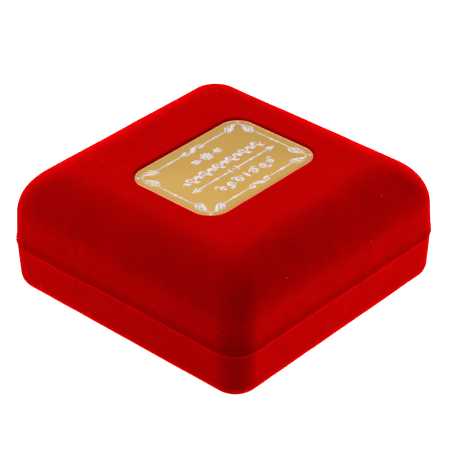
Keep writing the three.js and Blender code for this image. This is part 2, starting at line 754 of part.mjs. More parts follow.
// The spring: a strip bowed into the case whose ends hook behind the two leaves' lips.
function hingeSpring(face) {
  const inner = face + HINGE_LEAF_THICKNESS;
  const hookZ = HINGE_LEAF_LENGTH + SPRING_GAP + SPRING_THICKNESS / 2;
  const turnY = inner + LIP_REACH + SPRING_GAP + SPRING_THICKNESS / 2;
  const half = new THREE.Path();
  half.moveTo(-inner - SPRING_GAP, hookZ);
  half.lineTo(-turnY + SPRING_BEND, hookZ);
  half.quadraticCurveTo(-turnY, hookZ, -turnY, hookZ - SPRING_BEND);
  half.quadraticCurveTo(-SPRING_BOW, hookZ / 2, -SPRING_BOW, 0);
  const upper = half.getPoints(ROUND_STEPS - 2);
  const lower = upper.slice(0, -1).map((p) => new THREE.Vector2(p.x, -p.y));
  const middle = [...upper, ...lower.reverse()];
  const side = (sign) =>
    middle.map((p, i) => {
      const before = middle[Math.max(i - 1, 0)];
      const after = middle[Math.min(i + 1, middle.length - 1)];
      const along = after.clone().sub(before).normalize();
      const across = new THREE.Vector2(-along.y, along.x);
      return p.clone().addScaledVector(across, (sign * SPRING_THICKNESS) / 2);
    });
  const shape = new THREE.Shape([...side(1), ...side(-1).reverse()]);
  return extrudeAlongX(shape, SPRING_WIDTH);
}

// A rivet whose head lies on a leaf and whose shank reaches into the wall along +Y.
function rivet() {
  const grip = HINGE_LEAF_THICKNESS + RIVET_GRIP;
  const dome = quarterTurn(EDGE_STEPS).map((angle) => [
    RIVET_HEAD_RADIUS * Math.sin(angle),
    -RIVET_HEAD_HEIGHT * Math.cos(angle),
  ]);
  const points = [...dome, [RIVET_RADIUS, 0], [RIVET_RADIUS, grip], [0, grip]];
  const profile = points.map(([radius, y]) => new THREE.Vector2(radius, y));
  return solid(new THREE.LatheGeometry(profile, RIVET_SIDES));
}

// The fixed or moving half of a hinge's rivets.
function hingeRivets(name, x, wall, direction) {
  return [-1, 1].map((side) => {
    const mesh = piece(`${name}_${side < 0 ? 1 : 2}`, rivet(), brassedSteel());
    mesh.position.set(
      x + (side * RIVET_SPACING) / 2,
      CASE_DEPTH / 2 - wall - HINGE_LEAF_THICKNESS,
      SEAM_HEIGHT + direction * RIVET_DROP,
    );
    return mesh;
  });
}

function placedAtPin(mesh, x) {
  mesh.position.set(x, HINGE_Y, SEAM_HEIGHT);
  return mesh;
}

// Scene graph: the case's base with its tray, the lid with what it carries, and the medal.
const base = new THREE.Group();
base.add(baseShell(), insertTray());
const lid = new THREE.Group();
lid.add(lidShell(), namePlate(), lidCard(), lidPad());
for (const [side, x] of HINGE_PLACES) {
  const name = `${side}_hinge`;
  const springFace = Math.max(BASE_WALL, LID_WALL) - HINGE_INSET;
  base.add(
    placedAtPin(piece(`${name}_base_leaf`, hingeLeaf(-1, BASE_WALL), brassedSteel()), x),
    placedAtPin(piece(`${name}_pin`, hingePin(), brassedSteel()), x),
    placedAtPin(piece(`${name}_spring`, hingeSpring(springFace), springSteel()), x),
    ...hingeRivets(`${name}_base_rivet`, x, BASE_WALL, -1),
  );
  lid.add(
    placedAtPin(piece(`${name}_lid_leaf`, hingeLeaf(1, LID_WALL), brassedSteel()), x),
    ...hingeRivets(`${name}_lid_rivet`, x, LID_WALL, 1),
  );
}
const casedMedal = new THREE.Group();
casedMedal.add(base, lid, medal());

export default casedMedal;
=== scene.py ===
"""The looks of a cased medal: a red flocked case with a domed lid, a gold name plate, a formed insert,
a satin lid pad, two sprung hinges and a struck medal, on a pale studio floor. Metres, +Z up, -Y the front."""
import json
import math
import random

import bmesh
import bpy
import numpy as np
from mathutils import Matrix, Vector, noise


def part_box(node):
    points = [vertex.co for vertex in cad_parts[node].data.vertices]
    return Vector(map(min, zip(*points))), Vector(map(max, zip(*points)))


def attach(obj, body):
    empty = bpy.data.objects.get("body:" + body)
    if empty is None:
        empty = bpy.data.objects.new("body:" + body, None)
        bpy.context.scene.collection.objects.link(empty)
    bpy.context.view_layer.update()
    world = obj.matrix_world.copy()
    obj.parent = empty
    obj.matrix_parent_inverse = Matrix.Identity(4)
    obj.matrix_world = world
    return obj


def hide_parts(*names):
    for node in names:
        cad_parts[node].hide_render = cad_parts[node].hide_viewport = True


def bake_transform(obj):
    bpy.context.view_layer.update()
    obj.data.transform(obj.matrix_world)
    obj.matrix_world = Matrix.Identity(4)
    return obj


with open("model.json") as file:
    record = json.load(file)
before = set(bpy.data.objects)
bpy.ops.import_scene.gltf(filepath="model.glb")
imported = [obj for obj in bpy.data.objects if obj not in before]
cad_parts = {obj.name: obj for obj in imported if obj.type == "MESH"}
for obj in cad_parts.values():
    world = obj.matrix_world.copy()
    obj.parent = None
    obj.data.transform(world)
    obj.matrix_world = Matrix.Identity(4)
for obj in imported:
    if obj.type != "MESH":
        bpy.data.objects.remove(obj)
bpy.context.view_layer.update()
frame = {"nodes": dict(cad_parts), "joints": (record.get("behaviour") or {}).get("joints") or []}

bl_info = {
    "name": "Cased Medal",
    "version": (1, 0, 0),
    "blender": (4, 5, 0),
    "location": "3D View > Sidebar > Cased Medal",
    "description": "Builds a flocked presentation case with its plate, lining, hinges and medal",
    "category": "Add Mesh",
}

MM = 0.001

# What the frame gives
BASE_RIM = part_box("base_shell")[1].z
LID_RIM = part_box("lid_shell")[0].z
CASE_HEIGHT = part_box("lid_shell")[1].z
SEAM_HEIGHT = (BASE_RIM + LID_RIM) / 2
PLATE_LOW, PLATE_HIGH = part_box("name_plate")
TRAY_LOW, TRAY_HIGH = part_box("insert_tray")
MEDAL_LOW, MEDAL_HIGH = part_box("medal")
PAD_LOW, PAD_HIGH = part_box("lid_pad")
LID_JOINT = next(joint for joint in frame["joints"] if joint["name"] == "lid_hinge")
PIN_Y = LID_JOINT["pos_m"][1]
HINGE_SIDES = ("left", "right")

# How finely curves are cut
CORNER_STEPS = 20
SIDE_STEPS = 44
WALL_STEPS = 10
DOME_STEPS = 34
TOP_STEPS = 8
EDGE_STEPS = 6
SINK_SIDES = 128
ROUND_SIDES = 32
SHARP_ANGLE = math.radians(38)
OVERRUN = 1 * MM  # how far a cutter passes the face that it cuts


class CaseSizes(bpy.types.PropertyGroup):
    """Sizes of the two flocked shells."""

    width: bpy.props.FloatProperty(
        name="Width", description="Across the front of the case", default=100 * MM, unit="LENGTH")
    depth: bpy.props.FloatProperty(
        name="Depth", description="From the front to the hinge side", default=101.4 * MM, unit="LENGTH")
    corner_radius: bpy.props.FloatProperty(
        name="Corner radius", description="Of the case seen from above", default=9.2 * MM, unit="LENGTH")
    wall: bpy.props.FloatProperty(
        name="Wall", description="Thickness of both shells", default=2.2 * MM, unit="LENGTH")
    lid_top_wall: bpy.props.FloatProperty(
        name="Lid top", description="Thickness of the lid's flat top", default=3.2 * MM, unit="LENGTH")
    lid_wall_height: bpy.props.FloatProperty(
        name="Lid wall height", description="From the seam to the start of the dome", default=9.9 * MM,
        unit="LENGTH")
    lid_draft: bpy.props.FloatProperty(
        name="Lid draft", description="How far the lid's wall leans in", default=0.43 * MM, unit="LENGTH")
    lid_rim_round: bpy.props.FloatProperty(
        name="Lid rim round", description="Height over which the lid's lower edge turns in",
        default=1.2 * MM, unit="LENGTH")
    lid_rim_tuck: bpy.props.FloatProperty(
        name="Lid rim tuck", description="How far the lid's lower edge turns in", default=0.05 * MM,
        unit="LENGTH")
    dome_width: bpy.props.FloatProperty(
        name="Dome width", description="From the wall in to the flat top", default=16.4 * MM, unit="LENGTH")
    base_draft: bpy.props.FloatProperty(
        name="Base draft", description="How far the base's wall leans in", default=0.5 * MM, unit="LENGTH")
    base_rim_round: bpy.props.FloatProperty(
        name="Base rim round", description="Rounding of the base's upper edge", default=0.3 * MM,
        unit="LENGTH")
    foot_width: bpy.props.FloatProperty(
        name="Foot width", description="Width of the rounded lower edge", default=5.4 * MM, unit="LENGTH")
    foot_height: bpy.props.FloatProperty(
        name="Foot height", description="Height of the rounded lower edge", default=5.2 * MM, unit="LENGTH")
    floor: bpy.props.FloatProperty(
        name="Floor", description="Thickness of the base's floor", default=2 * MM, unit="LENGTH")


class CaseLooks(bpy.types.PropertyGroup):
    """Colours of the case, its lining and its metal."""

    flock: bpy.props.FloatVectorProperty(
        name="Flock", description="Colour of the pile on the case", size=3, subtype="COLOR",
        default=(0.072, 0.0, 0.0))
    flock_sheen: bpy.props.FloatVectorProperty(
        name="Flock sheen", description="Colour of the pile's tips", size=3, subtype="COLOR",
        default=(1.0, 0.0012, 0.0021))
    insert_sheen: bpy.props.FloatVectorProperty(
        name="Insert sheen", description="Colour of the tips of the insert's pile", size=3,
        subtype="COLOR", default=(0.85, 0.0, 0.006))
    plate: bpy.props.FloatVectorProperty(
        name="Plate", description="Colour of the plate's satin gold", size=3, subtype="COLOR",
        default=(0.4, 0.234, 0.044))
    # the plate rim's colour is a painted highlight and a painted reflection of the red pile
    plate_glint_rim: bpy.props.FloatVectorProperty(
        name="Plate rim", description="Colour of the plate's polished edge", size=3, subtype="COLOR",
        default=(0.85, 0.34, 0.16))
    print_ink: bpy.props.FloatVectorProperty(
        name="Print", description="Colour of the plate's printed border", size=3, subtype="COLOR",
        default=(0.56, 0.5, 0.42))
    # the print shade is a painted shadow beside each printed line
    print_shade: bpy.props.FloatVectorProperty(
        name="Print shade", description="Colour of the shade under the printed border", size=3,
        subtype="COLOR", default=(0.4, 0.34, 0.37))
    medal: bpy.props.FloatVectorProperty(
        name="Medal", description="Colour of the medal's gold plating", size=3, subtype="COLOR",
        default=(0.83, 0.53, 0.16))
    satin: bpy.props.FloatVectorProperty(
        name="Satin", description="Colour of the lid pad", size=3, subtype="COLOR",
        default=(0.53, 0.505, 0.46))
    card: bpy.props.FloatVectorProperty(
        name="Card", description="Colour of the card behind the pad", size=3, subtype="COLOR",
        default=(0.52, 0.44, 0.33))
    hinge: bpy.props.FloatVectorProperty(
        name="Hinge", description="Colour of the hinges' brass plating", size=3, subtype="COLOR",
        default=(0.66, 0.45, 0.17))
    spring: bpy.props.FloatVectorProperty(
        name="Spring", description="Colour of the spring strips", size=3, subtype="COLOR",
        default=(0.52, 0.53, 0.55))


# Meshes


def add_mesh(name, points, faces, sharp_angle=SHARP_ANGLE):
    """A mesh object in the scene, its faces turned outwards and shaded smooth except at sharp edges."""
    mesh = bpy.data.meshes.new(name)
    mesh.from_pydata(np.asarray(points).tolist(), [], [list(map(int, face)) for face in faces])
    edit = bmesh.new()
    edit.from_mesh(mesh)
    bmesh.ops.recalc_face_normals(edit, faces=edit.faces)
    edit.to_mesh(mesh)
    edit.free()
    mesh.shade_smooth()
    mesh.set_sharp_from_angle(angle=sharp_angle)
    obj = bpy.data.objects.new(name, mesh)
    bpy.context.scene.collection.objects.link(obj)
    return obj


def apply_modifiers(obj):
    """Gives the object the mesh that its modifiers make, and takes them off."""
    bpy.context.view_layer.update()
    graph = bpy.context.evaluated_depsgraph_get()
    made = bpy.data.meshes.new_from_object(obj.evaluated_get(graph))
    obj.modifiers.clear()
    old = obj.data
    obj.data = made
    bpy.data.meshes.remove(old)
    made.name = obj.name


def combine(obj, others, operation="DIFFERENCE"):
    """Cuts the others out of obj, or joins them to it, and removes them."""
    for other in others:
        modifier = obj.modifiers.new("Combine", "BOOLEAN")
        modifier.operation = operation
        modifier.solver = "MANIFOLD"
        modifier.object = other
        apply_modifiers(obj)
        mesh = other.data
        bpy.data.objects.remove(other)
        bpy.data.meshes.remove(mesh)
    obj.data.shade_smooth()
    obj.data.set_sharp_from_angle(angle=SHARP_ANGLE)


def quarter_turn(steps):
    """Angles from 0 to 90 degrees."""
    return np.linspace(0, math.pi / 2, steps + 1)


def turn_in(width, height, steps):
    """A round edge from its foot up to its top, as pairs of how far in and how far below the top."""
    return [(width * (1 - math.cos(a)), height * (1 - math.sin(a))) for a in quarter_turn(steps)]


def turn_out(width, height, steps):
    """A round foot from its bottom out to its wall, as pairs of how far in and how far up."""
    return [(width * (1 - math.sin(a)), height * (1 - math.cos(a))) for a in quarter_turn(steps)]


def polar(radius, angle):
    """A flat place by its distance and direction from the middle."""
    return radius * math.cos(angle), radius * math.sin(angle)


def unit_circle(sides):
    """Points round a circle of radius 1."""
    angles = np.linspace(0, 2 * math.pi, sides, endpoint=False)
    return np.stack([np.cos(angles), np.sin(angles)], axis=1)


def rounded_outline(half_width, half_depth, radius):
    """Points of a rounded rectangle, anticlockwise."""
    arcs = []
    for quarter, (x, y) in enumerate([
        (half_width, half_depth), (-half_width, half_depth),
        (-half_width, -half_depth), (half_width, -half_depth),
    ]):
        centre = np.array([x - math.copysign(radius, x), y - math.copysign(radius, y)])
        angles = (quarter + np.linspace(0, 1, CORNER_STEPS + 1)) * math.pi / 2
        arcs.append(centre + radius * np.stack([np.cos(angles), np.sin(angles)], axis=1))
    shares = np.linspace(0, 1, SIDE_STEPS + 1)[1:-1, None]
    parts = []
    for arc, following in zip(arcs, arcs[1:] + arcs[:1]):
        parts += [arc, arc[-1] + (following[0] - arc[-1]) * shares]
    return np.concatenate(parts)


def ring(outline, z):
    """The outline's points at a height."""
    return np.column_stack([outline, np.full(len(outline), z)])


def sideways(path):
    """The unit normals of a flat path."""
    along = np.gradient(path, axis=0)
    along /= np.linalg.norm(along, axis=1, keepdims=True)
    return np.column_stack([-along[:, 1], along[:, 0]])


def bands(rows, count):
    """The faces between rows of as many points each."""
    here = np.arange(count)
    following = (here + 1) % count
    faces = []
    for low in range(0, (rows - 1) * count, count):
        corners = (low + here, low + following, low + count + following, low + count + here)
        faces += np.stack(corners, axis=1).tolist()
    return faces


def skin(name, rings):
    """A closed skin through rings of as many points each, with its two ends capped."""
    count = len(rings[0])
    points = np.concatenate([*rings, [rings[0].mean(axis=0), rings[-1].mean(axis=0)]])
    last = (len(rings) - 1) * count
    faces = bands(len(rings), count)
    pairs = [(corner, (corner + 1) % count) for corner in range(count)]
    faces += [(len(points) - 2, b, a) for a, b in pairs]
    faces += [(len(points) - 1, last + a, last + b) for a, b in pairs]
    return add_mesh(name, points, faces)


def tube(sections):
    """The points and faces of a closed skin along cross-sections of as many points each."""
    sections = np.asarray(sections)
    rows, count = sections.shape[:2]
    low_end = list(range(count))[::-1]
    high_end = list(range((rows - 1) * count, rows * count))
    return sections.reshape(-1, 3), [*bands(rows, count), low_end, high_end]


def joined(name, parts, sharp_angle=SHARP_ANGLE):
    """One mesh of several closed skins, each given as points and faces."""
    points, faces, start = [], [], 0
    for part_points, part_faces in parts:
        points.append(part_points)
        faces += [[start + corner for corner in face] for face in part_faces]
        start += len(part_points)
    return add_mesh(name, np.concatenate(points), faces, sharp_angle)


def soften(obj, voxel, repeats):
    """Remeshes a solid evenly and smooths it, as moulding and flocking round its edges."""
    remesh = obj.modifiers.new("Remesh", "REMESH")
    remesh.mode = "VOXEL"
    remesh.voxel_size = voxel
    remesh.use_smooth_shade = True
    smooth = obj.modifiers.new("Smooth", "SMOOTH")
    smooth.factor = 0.5
    smooth.iterations = repeats
    apply_modifiers(obj)
    obj.data.shade_smooth()


def subdivide(obj, levels):
    """Subdivides a soft piece and applies it."""
    modifier = obj.modifiers.new("Subdivision", "SUBSURF")
    modifier.levels = levels
    modifier.render_levels = levels
    apply_modifiers(obj)
    obj.data.shade_smooth()


def block(low, high):
    """A box from its lowest to its highest corner."""
    (x0, y0, z0), (x1, y1, z1) = low, high
    points = [(x, y, z) for z in (z0, z1) for x, y in ((x0, y0), (x1, y0), (x1, y1), (x0, y1))]
    faces = [(0, 3, 2, 1), (4, 5, 6, 7), (0, 1, 5, 4), (1, 2, 6, 5), (2, 3, 7, 6), (3, 0, 4, 7)]
    return add_mesh("block", points, faces)


def along_x(outline, low_x, high_x):
    """A prism along X over an outline drawn in Y and Z."""
    count = len(outline)
    points = [(x, y, z) for x in (low_x, high_x) for y, z in outline]
    faces = [tuple(range(count)), tuple(range(2 * count - 1, count - 1, -1))]
    faces += [(i, count + i, count + (i + 1) % count, (i + 1) % count) for i in range(count)]
    return add_mesh("bar", points, faces)


def turned(name, profile, sides, centre=(0, 0)):
    """A solid of revolution about a vertical axis, from (radius, z) points that start and end on it."""
    circle = unit_circle(sides)
    return skin(name, [ring(np.array(centre) + radius * circle, z) for radius, z in profile[1:-1]])


def copy_of(node_name, name):
    """A new object with a copy of a frame node's mesh."""
    obj = bpy.data.objects.new(name, frame["nodes"][node_name].data.copy())
    bpy.context.scene.collection.objects.link(obj)
    return obj


def ruffle(obj, first, last, amplitude, size, near=None, reach=1.0):
    """Moves points in and out unevenly, or level and only near a height if one is given."""
    mesh = obj.data
    normals = [Vector(normal.vector) for normal in mesh.vertex_normals]
    for vertex, normal in zip(mesh.vertices[first:last], normals[first:last]):
        share = 1.0
        if near is not None:
            share = max(0.0, 1 - abs(vertex.co.z - near) / reach)
            normal.z = 0
        vertex.co += normal * amplitude * share * noise.noise(vertex.co / size)
    mesh.update()


# Materials


def feed(tree, target, inputs):
    """Sets a node's inputs, given as {socket: value or another node's output}."""
    for socket, value in inputs.items():
        if isinstance(value, bpy.types.NodeSocket):
            tree.links.new(value, target.inputs[socket])
        else:
            target.inputs[socket].default_value = value


def node(tree, kind, inputs=None, **settings):
    """A node with its settings and its inputs."""
    made = tree.nodes.new(kind)
    for key, value in settings.items():
        setattr(made, key, value)
    feed(tree, made, inputs or {})
    return made


def math_node(tree, operation, first, second=0.0):
    """A Math node's output."""
    return node(tree, "ShaderNodeMath", {0: first, 1: second}, operation=operation).outputs[0]


def mix_colour(tree, factor, first, second):
    """A colour between two, by a factor."""
    made = node(tree, "ShaderNodeMix", {0: factor, 6: first, 7: second}, data_type="RGBA")
    return made.outputs[2]


def map_range(tree, value, low, high, to_low=0.0, to_high=1.0):
    """A value stretched from one range to another, and kept inside it."""
    inputs = {"Value": value, "From Min": low, "From Max": high, "To Min": to_low, "To Max": to_high}
    return node(tree, "ShaderNodeMapRange", inputs).outputs["Result"]


def spread(tree, mask):
    """The middle range of a noise, stretched to run from 0 to 1."""
    return map_range(tree, mask, 0.3, 0.7)


def weighted(tree, *terms):
    """The sum of masks, each given with its weight."""
    total = 0.0
    for mask, weight in terms:
        total = math_node(tree, "ADD", total, math_node(tree, "MULTIPLY", mask, weight))
    return total


def object_place(tree):
    """The place on the object, in metres, that textures are laid by."""
    return node(tree, "ShaderNodeTexCoord").outputs["Object"]


def scaled_along(tree, place, axis, operation, amount):
    """The place multiplied or divided along one axis, which draws a texture out or in."""
    split = node(tree, "ShaderNodeSeparateXYZ", {0: place}).outputs
    axes = {name: split[name] for name in "XYZ"}
    axes[axis] = math_node(tree, operation, axes[axis], amount)
    return node(tree, "ShaderNodeCombineXYZ", axes).outputs[0]


def noise_mask(tree, place, size, detail=2.0, roughness=0.5, distortion=0.0):
    """Noise whose cells have a size in metres."""
    inputs = {"Vector": place, "Scale": math_node(tree, "DIVIDE", 1.0, size), "Detail": detail}
    inputs |= {"Roughness": roughness, "Distortion": distortion}
    return node(tree, "ShaderNodeTexNoise", inputs).outputs["Fac"]


def speck_mask(tree, place, pitch, edge, core):
    """Scattered specks about one pitch apart, which fade from their core to their edge."""
    specks = node(tree, "ShaderNodeTexVoronoi", {"Vector": place, "Scale": 1 / pitch})
    return map_range(tree, specks.outputs["Distance"], edge, core)


def new_group(name, inputs, outputs):
    """An empty shader node group with named sockets, its input node's outputs and its output node."""
    tree = bpy.data.node_groups.new(name, "ShaderNodeTree")
    for socket, (kind, default) in inputs.items():
        made = tree.interface.new_socket(socket, in_out="INPUT", socket_type=kind)
        made.default_value = default
    for socket, kind in outputs.items():
        tree.interface.new_socket(socket, in_out="OUTPUT", socket_type=kind)
    return tree, tree.nodes.new("NodeGroupInput").outputs, tree.nodes.new("NodeGroupOutput")


COLOUR, FLOAT = "NodeSocketColor", "NodeSocketFloat"
LINT_PITCH = 4.6 * MM
LINT_COLOUR = (0.5, 0.12, 0.1, 1)


def flock_group():
    """Short pile: patches where it leans another way, brush marks, fibres and a few specks of lint."""
    tree, given, result = new_group(
        "Flock Pile",
        {
            "Colour": (COLOUR, (0.2, 0, 0, 1)),
            "Shade": (FLOAT, 0.45),
            "Fibre Size": (FLOAT, 0.35 * MM),
            "Patch Size": (FLOAT, 12 * MM),
            "Brush Size": (FLOAT, 3.75 * MM),
            "Lint": (FLOAT, 1.0),
        },
        {"Colour": COLOUR, "Height": FLOAT},
    )
    place = object_place(tree)
    upright = scaled_along(tree, place, "Z", "MULTIPLY", 0.55)
    fibres = noise_mask(tree, place, given["Fibre Size"], detail=3.0, roughness=0.6)
    patches = noise_mask(tree, place, given["Patch Size"], distortion=0.6)
    brushed = noise_mask(tree, upright, given["Brush Size"], detail=3.0, roughness=0.6, distortion=0.4)
    tone = weighted(
        tree, (spread(tree, fibres), 0.16), (spread(tree, patches), 0.42), (spread(tree, brushed), 0.42)
    )
    grey = node(tree, "ShaderNodeCombineColor", {name: given["Shade"] for name in ("Red", "Green", "Blue")})
    dark = node(
        tree, "ShaderNodeMix", {0: 1.0, 6: given["Colour"], 7: grey.outputs[0]},
        data_type="RGBA", blend_type="MULTIPLY",
    ).outputs[2]
    pile = mix_colour(tree, tone, dark, given["Colour"])
    specks = speck_mask(tree, place, LINT_PITCH, 0.03, 0.015)
    speck = math_node(tree, "MULTIPLY", specks, given["Lint"])
    feed(tree, result, {
        "Colour": mix_colour(tree, speck, pile, LINT_COLOUR),
        "Height": weighted(tree, (fibres, 1.0), (patches, 4.0), (brushed, 2.0)),
    })
    return tree


def metal_group():
    """Rolled or polished metal: streaks along one direction and cloudy handling marks."""
    tree, given, result = new_group(
        "Metal Finish",
        {
            "Colour": (COLOUR, (0.8, 0.6, 0.2, 1)),
            "Tarnish": (COLOUR, (0.5, 0.3, 0.08, 1)),
            "Tarnish Amount": (FLOAT, 0.3),
            "Roughness": (FLOAT, 0.3),
            "Streak Size": (FLOAT, 0.12 * MM),
            "Streak Stretch": (FLOAT, 30.0),
            "Cloud Size": (FLOAT, 6 * MM),
        },
        {"Colour": COLOUR, "Roughness": FLOAT, "Height": FLOAT},
    )
    place = object_place(tree)
    drawn_out = scaled_along(tree, place, "X", "DIVIDE", given["Streak Stretch"])
    streaks = noise_mask(tree, drawn_out, given["Streak Size"])
    clouds = noise_mask(tree, place, given["Cloud Size"], detail=4.0)
    marks = math_node(tree, "MULTIPLY", map_range(tree, clouds, 0.38, 0.72), given["Tarnish Amount"])
    uneven = weighted(tree, (spread(tree, streaks), 0.2), (spread(tree, clouds), 0.25), (1.0, 0.8))
    feed(tree, result, {
        "Colour": mix_colour(tree, marks, given["Colour"], given["Tarnish"]),
        "Roughness": math_node(tree, "MULTIPLY", given["Roughness"], uneven),
        "Height": streaks,
    })
    return tree


def shared_group(name, maker):
    """The node group of that name, made the first time that it is asked for."""
    return bpy.data.node_groups.get(name) or maker()


def new_material(name):
    """A material with its Principled shader and its node tree."""
    material = bpy.data.materials.new(name)
    material.use_nodes = True
    return material, material.node_tree, material.node_tree.nodes["Principled BSDF"]


def bump(tree, shader, height, distance):
    """Feeds a height times a distance in metres to the shader's normal."""
    made = node(tree, "ShaderNodeBump", {"Height": height, "Distance": distance, "Strength": 1.0})
    tree.links.new(made.outputs["Normal"], shader.inputs["Normal"])


def opaque(colour):
    """A colour with its alpha."""
    return (*colour, 1.0)


def shaded(colour, *shares):
    """A colour with a share of each of its channels."""
    return opaque(value * share for value, share in zip(colour, shares))


# Painted shade on the case's pile, darker down its upright corners and in a band along the seam: distances
# from the middle and heights
SHADE_CORNER = (40 * MM, 46 * MM)
SHADE_CORNER_TOP = (33 * MM, 24 * MM)
SHADE_SEAM_FOOT = (SEAM_HEIGHT - 0.6 * MM, SEAM_HEIGHT + 1.2 * MM)
SHADE_SEAM_TOP = (SEAM_HEIGHT + 3.8 * MM, SEAM_HEIGHT + 1.0 * MM)
SHADE_SEAM_DEPTH = 0.8
# the near-black red that the painted shade darkens the pile towards
PAINTED_SHADE_COLOUR = (0.004, 0, 0)
FLOCK_RELIEF = 0.06 * MM


def painted_shade(tree, colour):
    """Painted shade on the case's pile: darker down the lower part of its upright corners and in a band along
    the seam, over the lid's rim and onto the top of the base.
    """
    split = node(tree, "ShaderNodeSeparateXYZ", {0: object_place(tree)}).outputs
    across, along = (math_node(tree, "ABSOLUTE", split[axis]) for axis in "XY")
    nearer = math_node(tree, "MINIMUM", across, along)
    corner, rim = (
        math_node(tree, "MULTIPLY", map_range(tree, first, *reach), map_range(tree, split["Z"], *top))
        for first, reach, top in (
            (nearer, SHADE_CORNER, SHADE_CORNER_TOP), (split["Z"], SHADE_SEAM_FOOT, SHADE_SEAM_TOP),
        )
    )
    # painted shade: the stronger of the corner mask and the weakened seam mask
    shade_mask = math_node(tree, "MAXIMUM", corner, math_node(tree, "MULTIPLY", rim, SHADE_SEAM_DEPTH))
    return mix_colour(tree, shade_mask, colour, opaque(PAINTED_SHADE_COLOUR))


def flock_material(name, colour, sheen, lint, shade_painted=False):
    """Red pile that is dark face on and bright where it is seen from the side."""
    material, tree, shader = new_material(name)
    pile = node(
        tree, "ShaderNodeGroup", {"Colour": opaque(colour), "Lint": lint},
        node_tree=shared_group("Flock Pile", flock_group),
    ).outputs
    feed(tree, shader, {
        # with painted shade, the case's pile is darker at its corners and along the seam
        "Base Color": painted_shade(tree, pile["Colour"]) if shade_painted else pile["Colour"],
        "Roughness": 1.0,
        "Specular IOR Level": 0.0,
        "Sheen Weight": 1.0,
        "Sheen Roughness": 0.6,
        "Sheen Tint": opaque(sheen),
    })
    bump(tree, shader, pile["Height"], FLOCK_RELIEF)
    return material


METAL_RELIEF = 0.004 * MM
METAL_FINISHES = {
    "satin_gold": {
        "Tarnish": (0.38, 0.22, 0.035, 1), "Tarnish Amount": 0.3, "Roughness": 0.6,
        "Streak Size": 0.09 * MM, "Streak Stretch": 24, "Cloud Size": 14 * MM,
    },
    # painted highlight and painted reflection of the red pile, on the plate's edge strip
    "painted_glint_edge": {
        "Tarnish": (0.6, 0.28, 0.12, 1), "Tarnish Amount": 0.3, "Roughness": 0.3,
        "Streak Size": 0.2 * MM, "Streak Stretch": 4, "Cloud Size": 5 * MM,
    },
    "struck_gold": {
        "Tarnish": (0.55, 0.27, 0.06, 1), "Tarnish Amount": 0.35, "Roughness": 0.2,
        "Streak Size": 0.1 * MM, "Streak Stretch": 1, "Cloud Size": 7 * MM,
    },
    "brassed_steel": {
        "Tarnish": (0.33, 0.2, 0.07, 1), "Tarnish Amount": 0.55, "Roughness": 0.3,
        "Streak Size": 0.07 * MM, "Streak Stretch": 14, "Cloud Size": 3 * MM,
    },
    "bright_spring": {
        "Tarnish": (0.3, 0.28, 0.26, 1), "Tarnish Amount": 0.4, "Roughness": 0.26,
        "Streak Size": 0.05 * MM, "Streak Stretch": 26, "Cloud Size": 4 * MM,
    },
}


def metal_finish(tree, name, colour):
    """The outputs of the shared finish, with one metal's own values."""
    values = {"Colour": opaque(colour), **METAL_FINISHES[name]}
    group = shared_group("Metal Finish", metal_group)
    return node(tree, "ShaderNodeGroup", values, node_tree=group).outputs


def metal_material(name, colour, metallic=1.0):
    """A rolled or polished metal."""
    material, tree, shader = new_material(name)
    finish = metal_finish(tree, name, colour)
    feed(tree, shader, {
        "Base Color": finish["Colour"], "Roughness": finish["Roughness"], "Metallic": metallic,
    })
    bump(tree, shader, finish["Height"], METAL_RELIEF)
    return material


def dress(obj, material):
    """Gives an object one material all over."""
    obj.data.materials.clear()
    obj.data.materials.append(material)


def dress_node(name, material):
    """Gives a frame node that stays in view a better material."""
    for slot in frame["nodes"][name].material_slots:
        slot.link = "OBJECT"
        slot.material = material


# The print, the satin and the board
PRINT_SHADE_SIZE = 1.1 * MM
PRINT_GRAIN_SIZE = 0.12 * MM
PRINT_RELIEF = 0.006 * MM
MEDAL_HOLLOW = 0.4 * MM  # how far above the field its shade ends
SATIN_FLOAT_SIZE = 0.16 * MM
SATIN_FLOAT_STRETCH = 14.0
SATIN_SLACK_SIZE = 13 * MM
SATIN_WEFT_PITCH = 1.6 * MM
SATIN_RELIEF = 0.02 * MM
BOARD_FIBRE_SIZE = 0.5 * MM
BOARD_SPECK_PITCH = 1.7 * MM
BOARD_SPECK_COLOUR = (0.2, 0.14, 0.09, 1)
BOARD_RELIEF = 0.03 * MM


def print_material(name, colour):
    """Printed ink: pale, a little uneven, with cooler shades inside the lines."""
    material, tree, shader = new_material(name)
    place = object_place(tree)
    shades = noise_mask(tree, place, PRINT_SHADE_SIZE, detail=3.0)
    grain = noise_mask(tree, place, PRINT_GRAIN_SIZE)
    cool = shaded(colour, 0.66, 0.66, 0.86)
    feed(tree, shader, {
        "Base Color": mix_colour(tree, map_range(tree, shades, 0.42, 0.64), opaque(colour), cool),
        "Roughness": map_range(tree, grain, 0.2, 0.8, 0.42, 0.62),
    })
    bump(tree, shader, grain, PRINT_RELIEF)
    return material


def medal_material(colour):
    """Gold plating: bright on the relief, darker and duller down on the field."""
    material, tree, shader = new_material("struck_gold")
    finish = metal_finish(tree, "struck_gold", colour)
    height = node(tree, "ShaderNodeSeparateXYZ", {0: object_place(tree)}).outputs["Z"]
    hollow = map_range(tree, height, MEDAL_FIELD + MEDAL_HOLLOW, MEDAL_FIELD)
    shade = math_node(tree, "MULTIPLY", hollow, 0.55)
    deep = shaded(colour, 0.66, 0.5, 0.38)
    feed(tree, shader, {
        "Base Color": mix_colour(tree, shade, finish["Colour"], deep),
        "Roughness": weighted(tree, (finish["Roughness"], 1.0), (hollow, 0.14)),
        "Metallic": 1.0,
    })
    bump(tree, shader, finish["Height"], METAL_RELIEF)
    return material


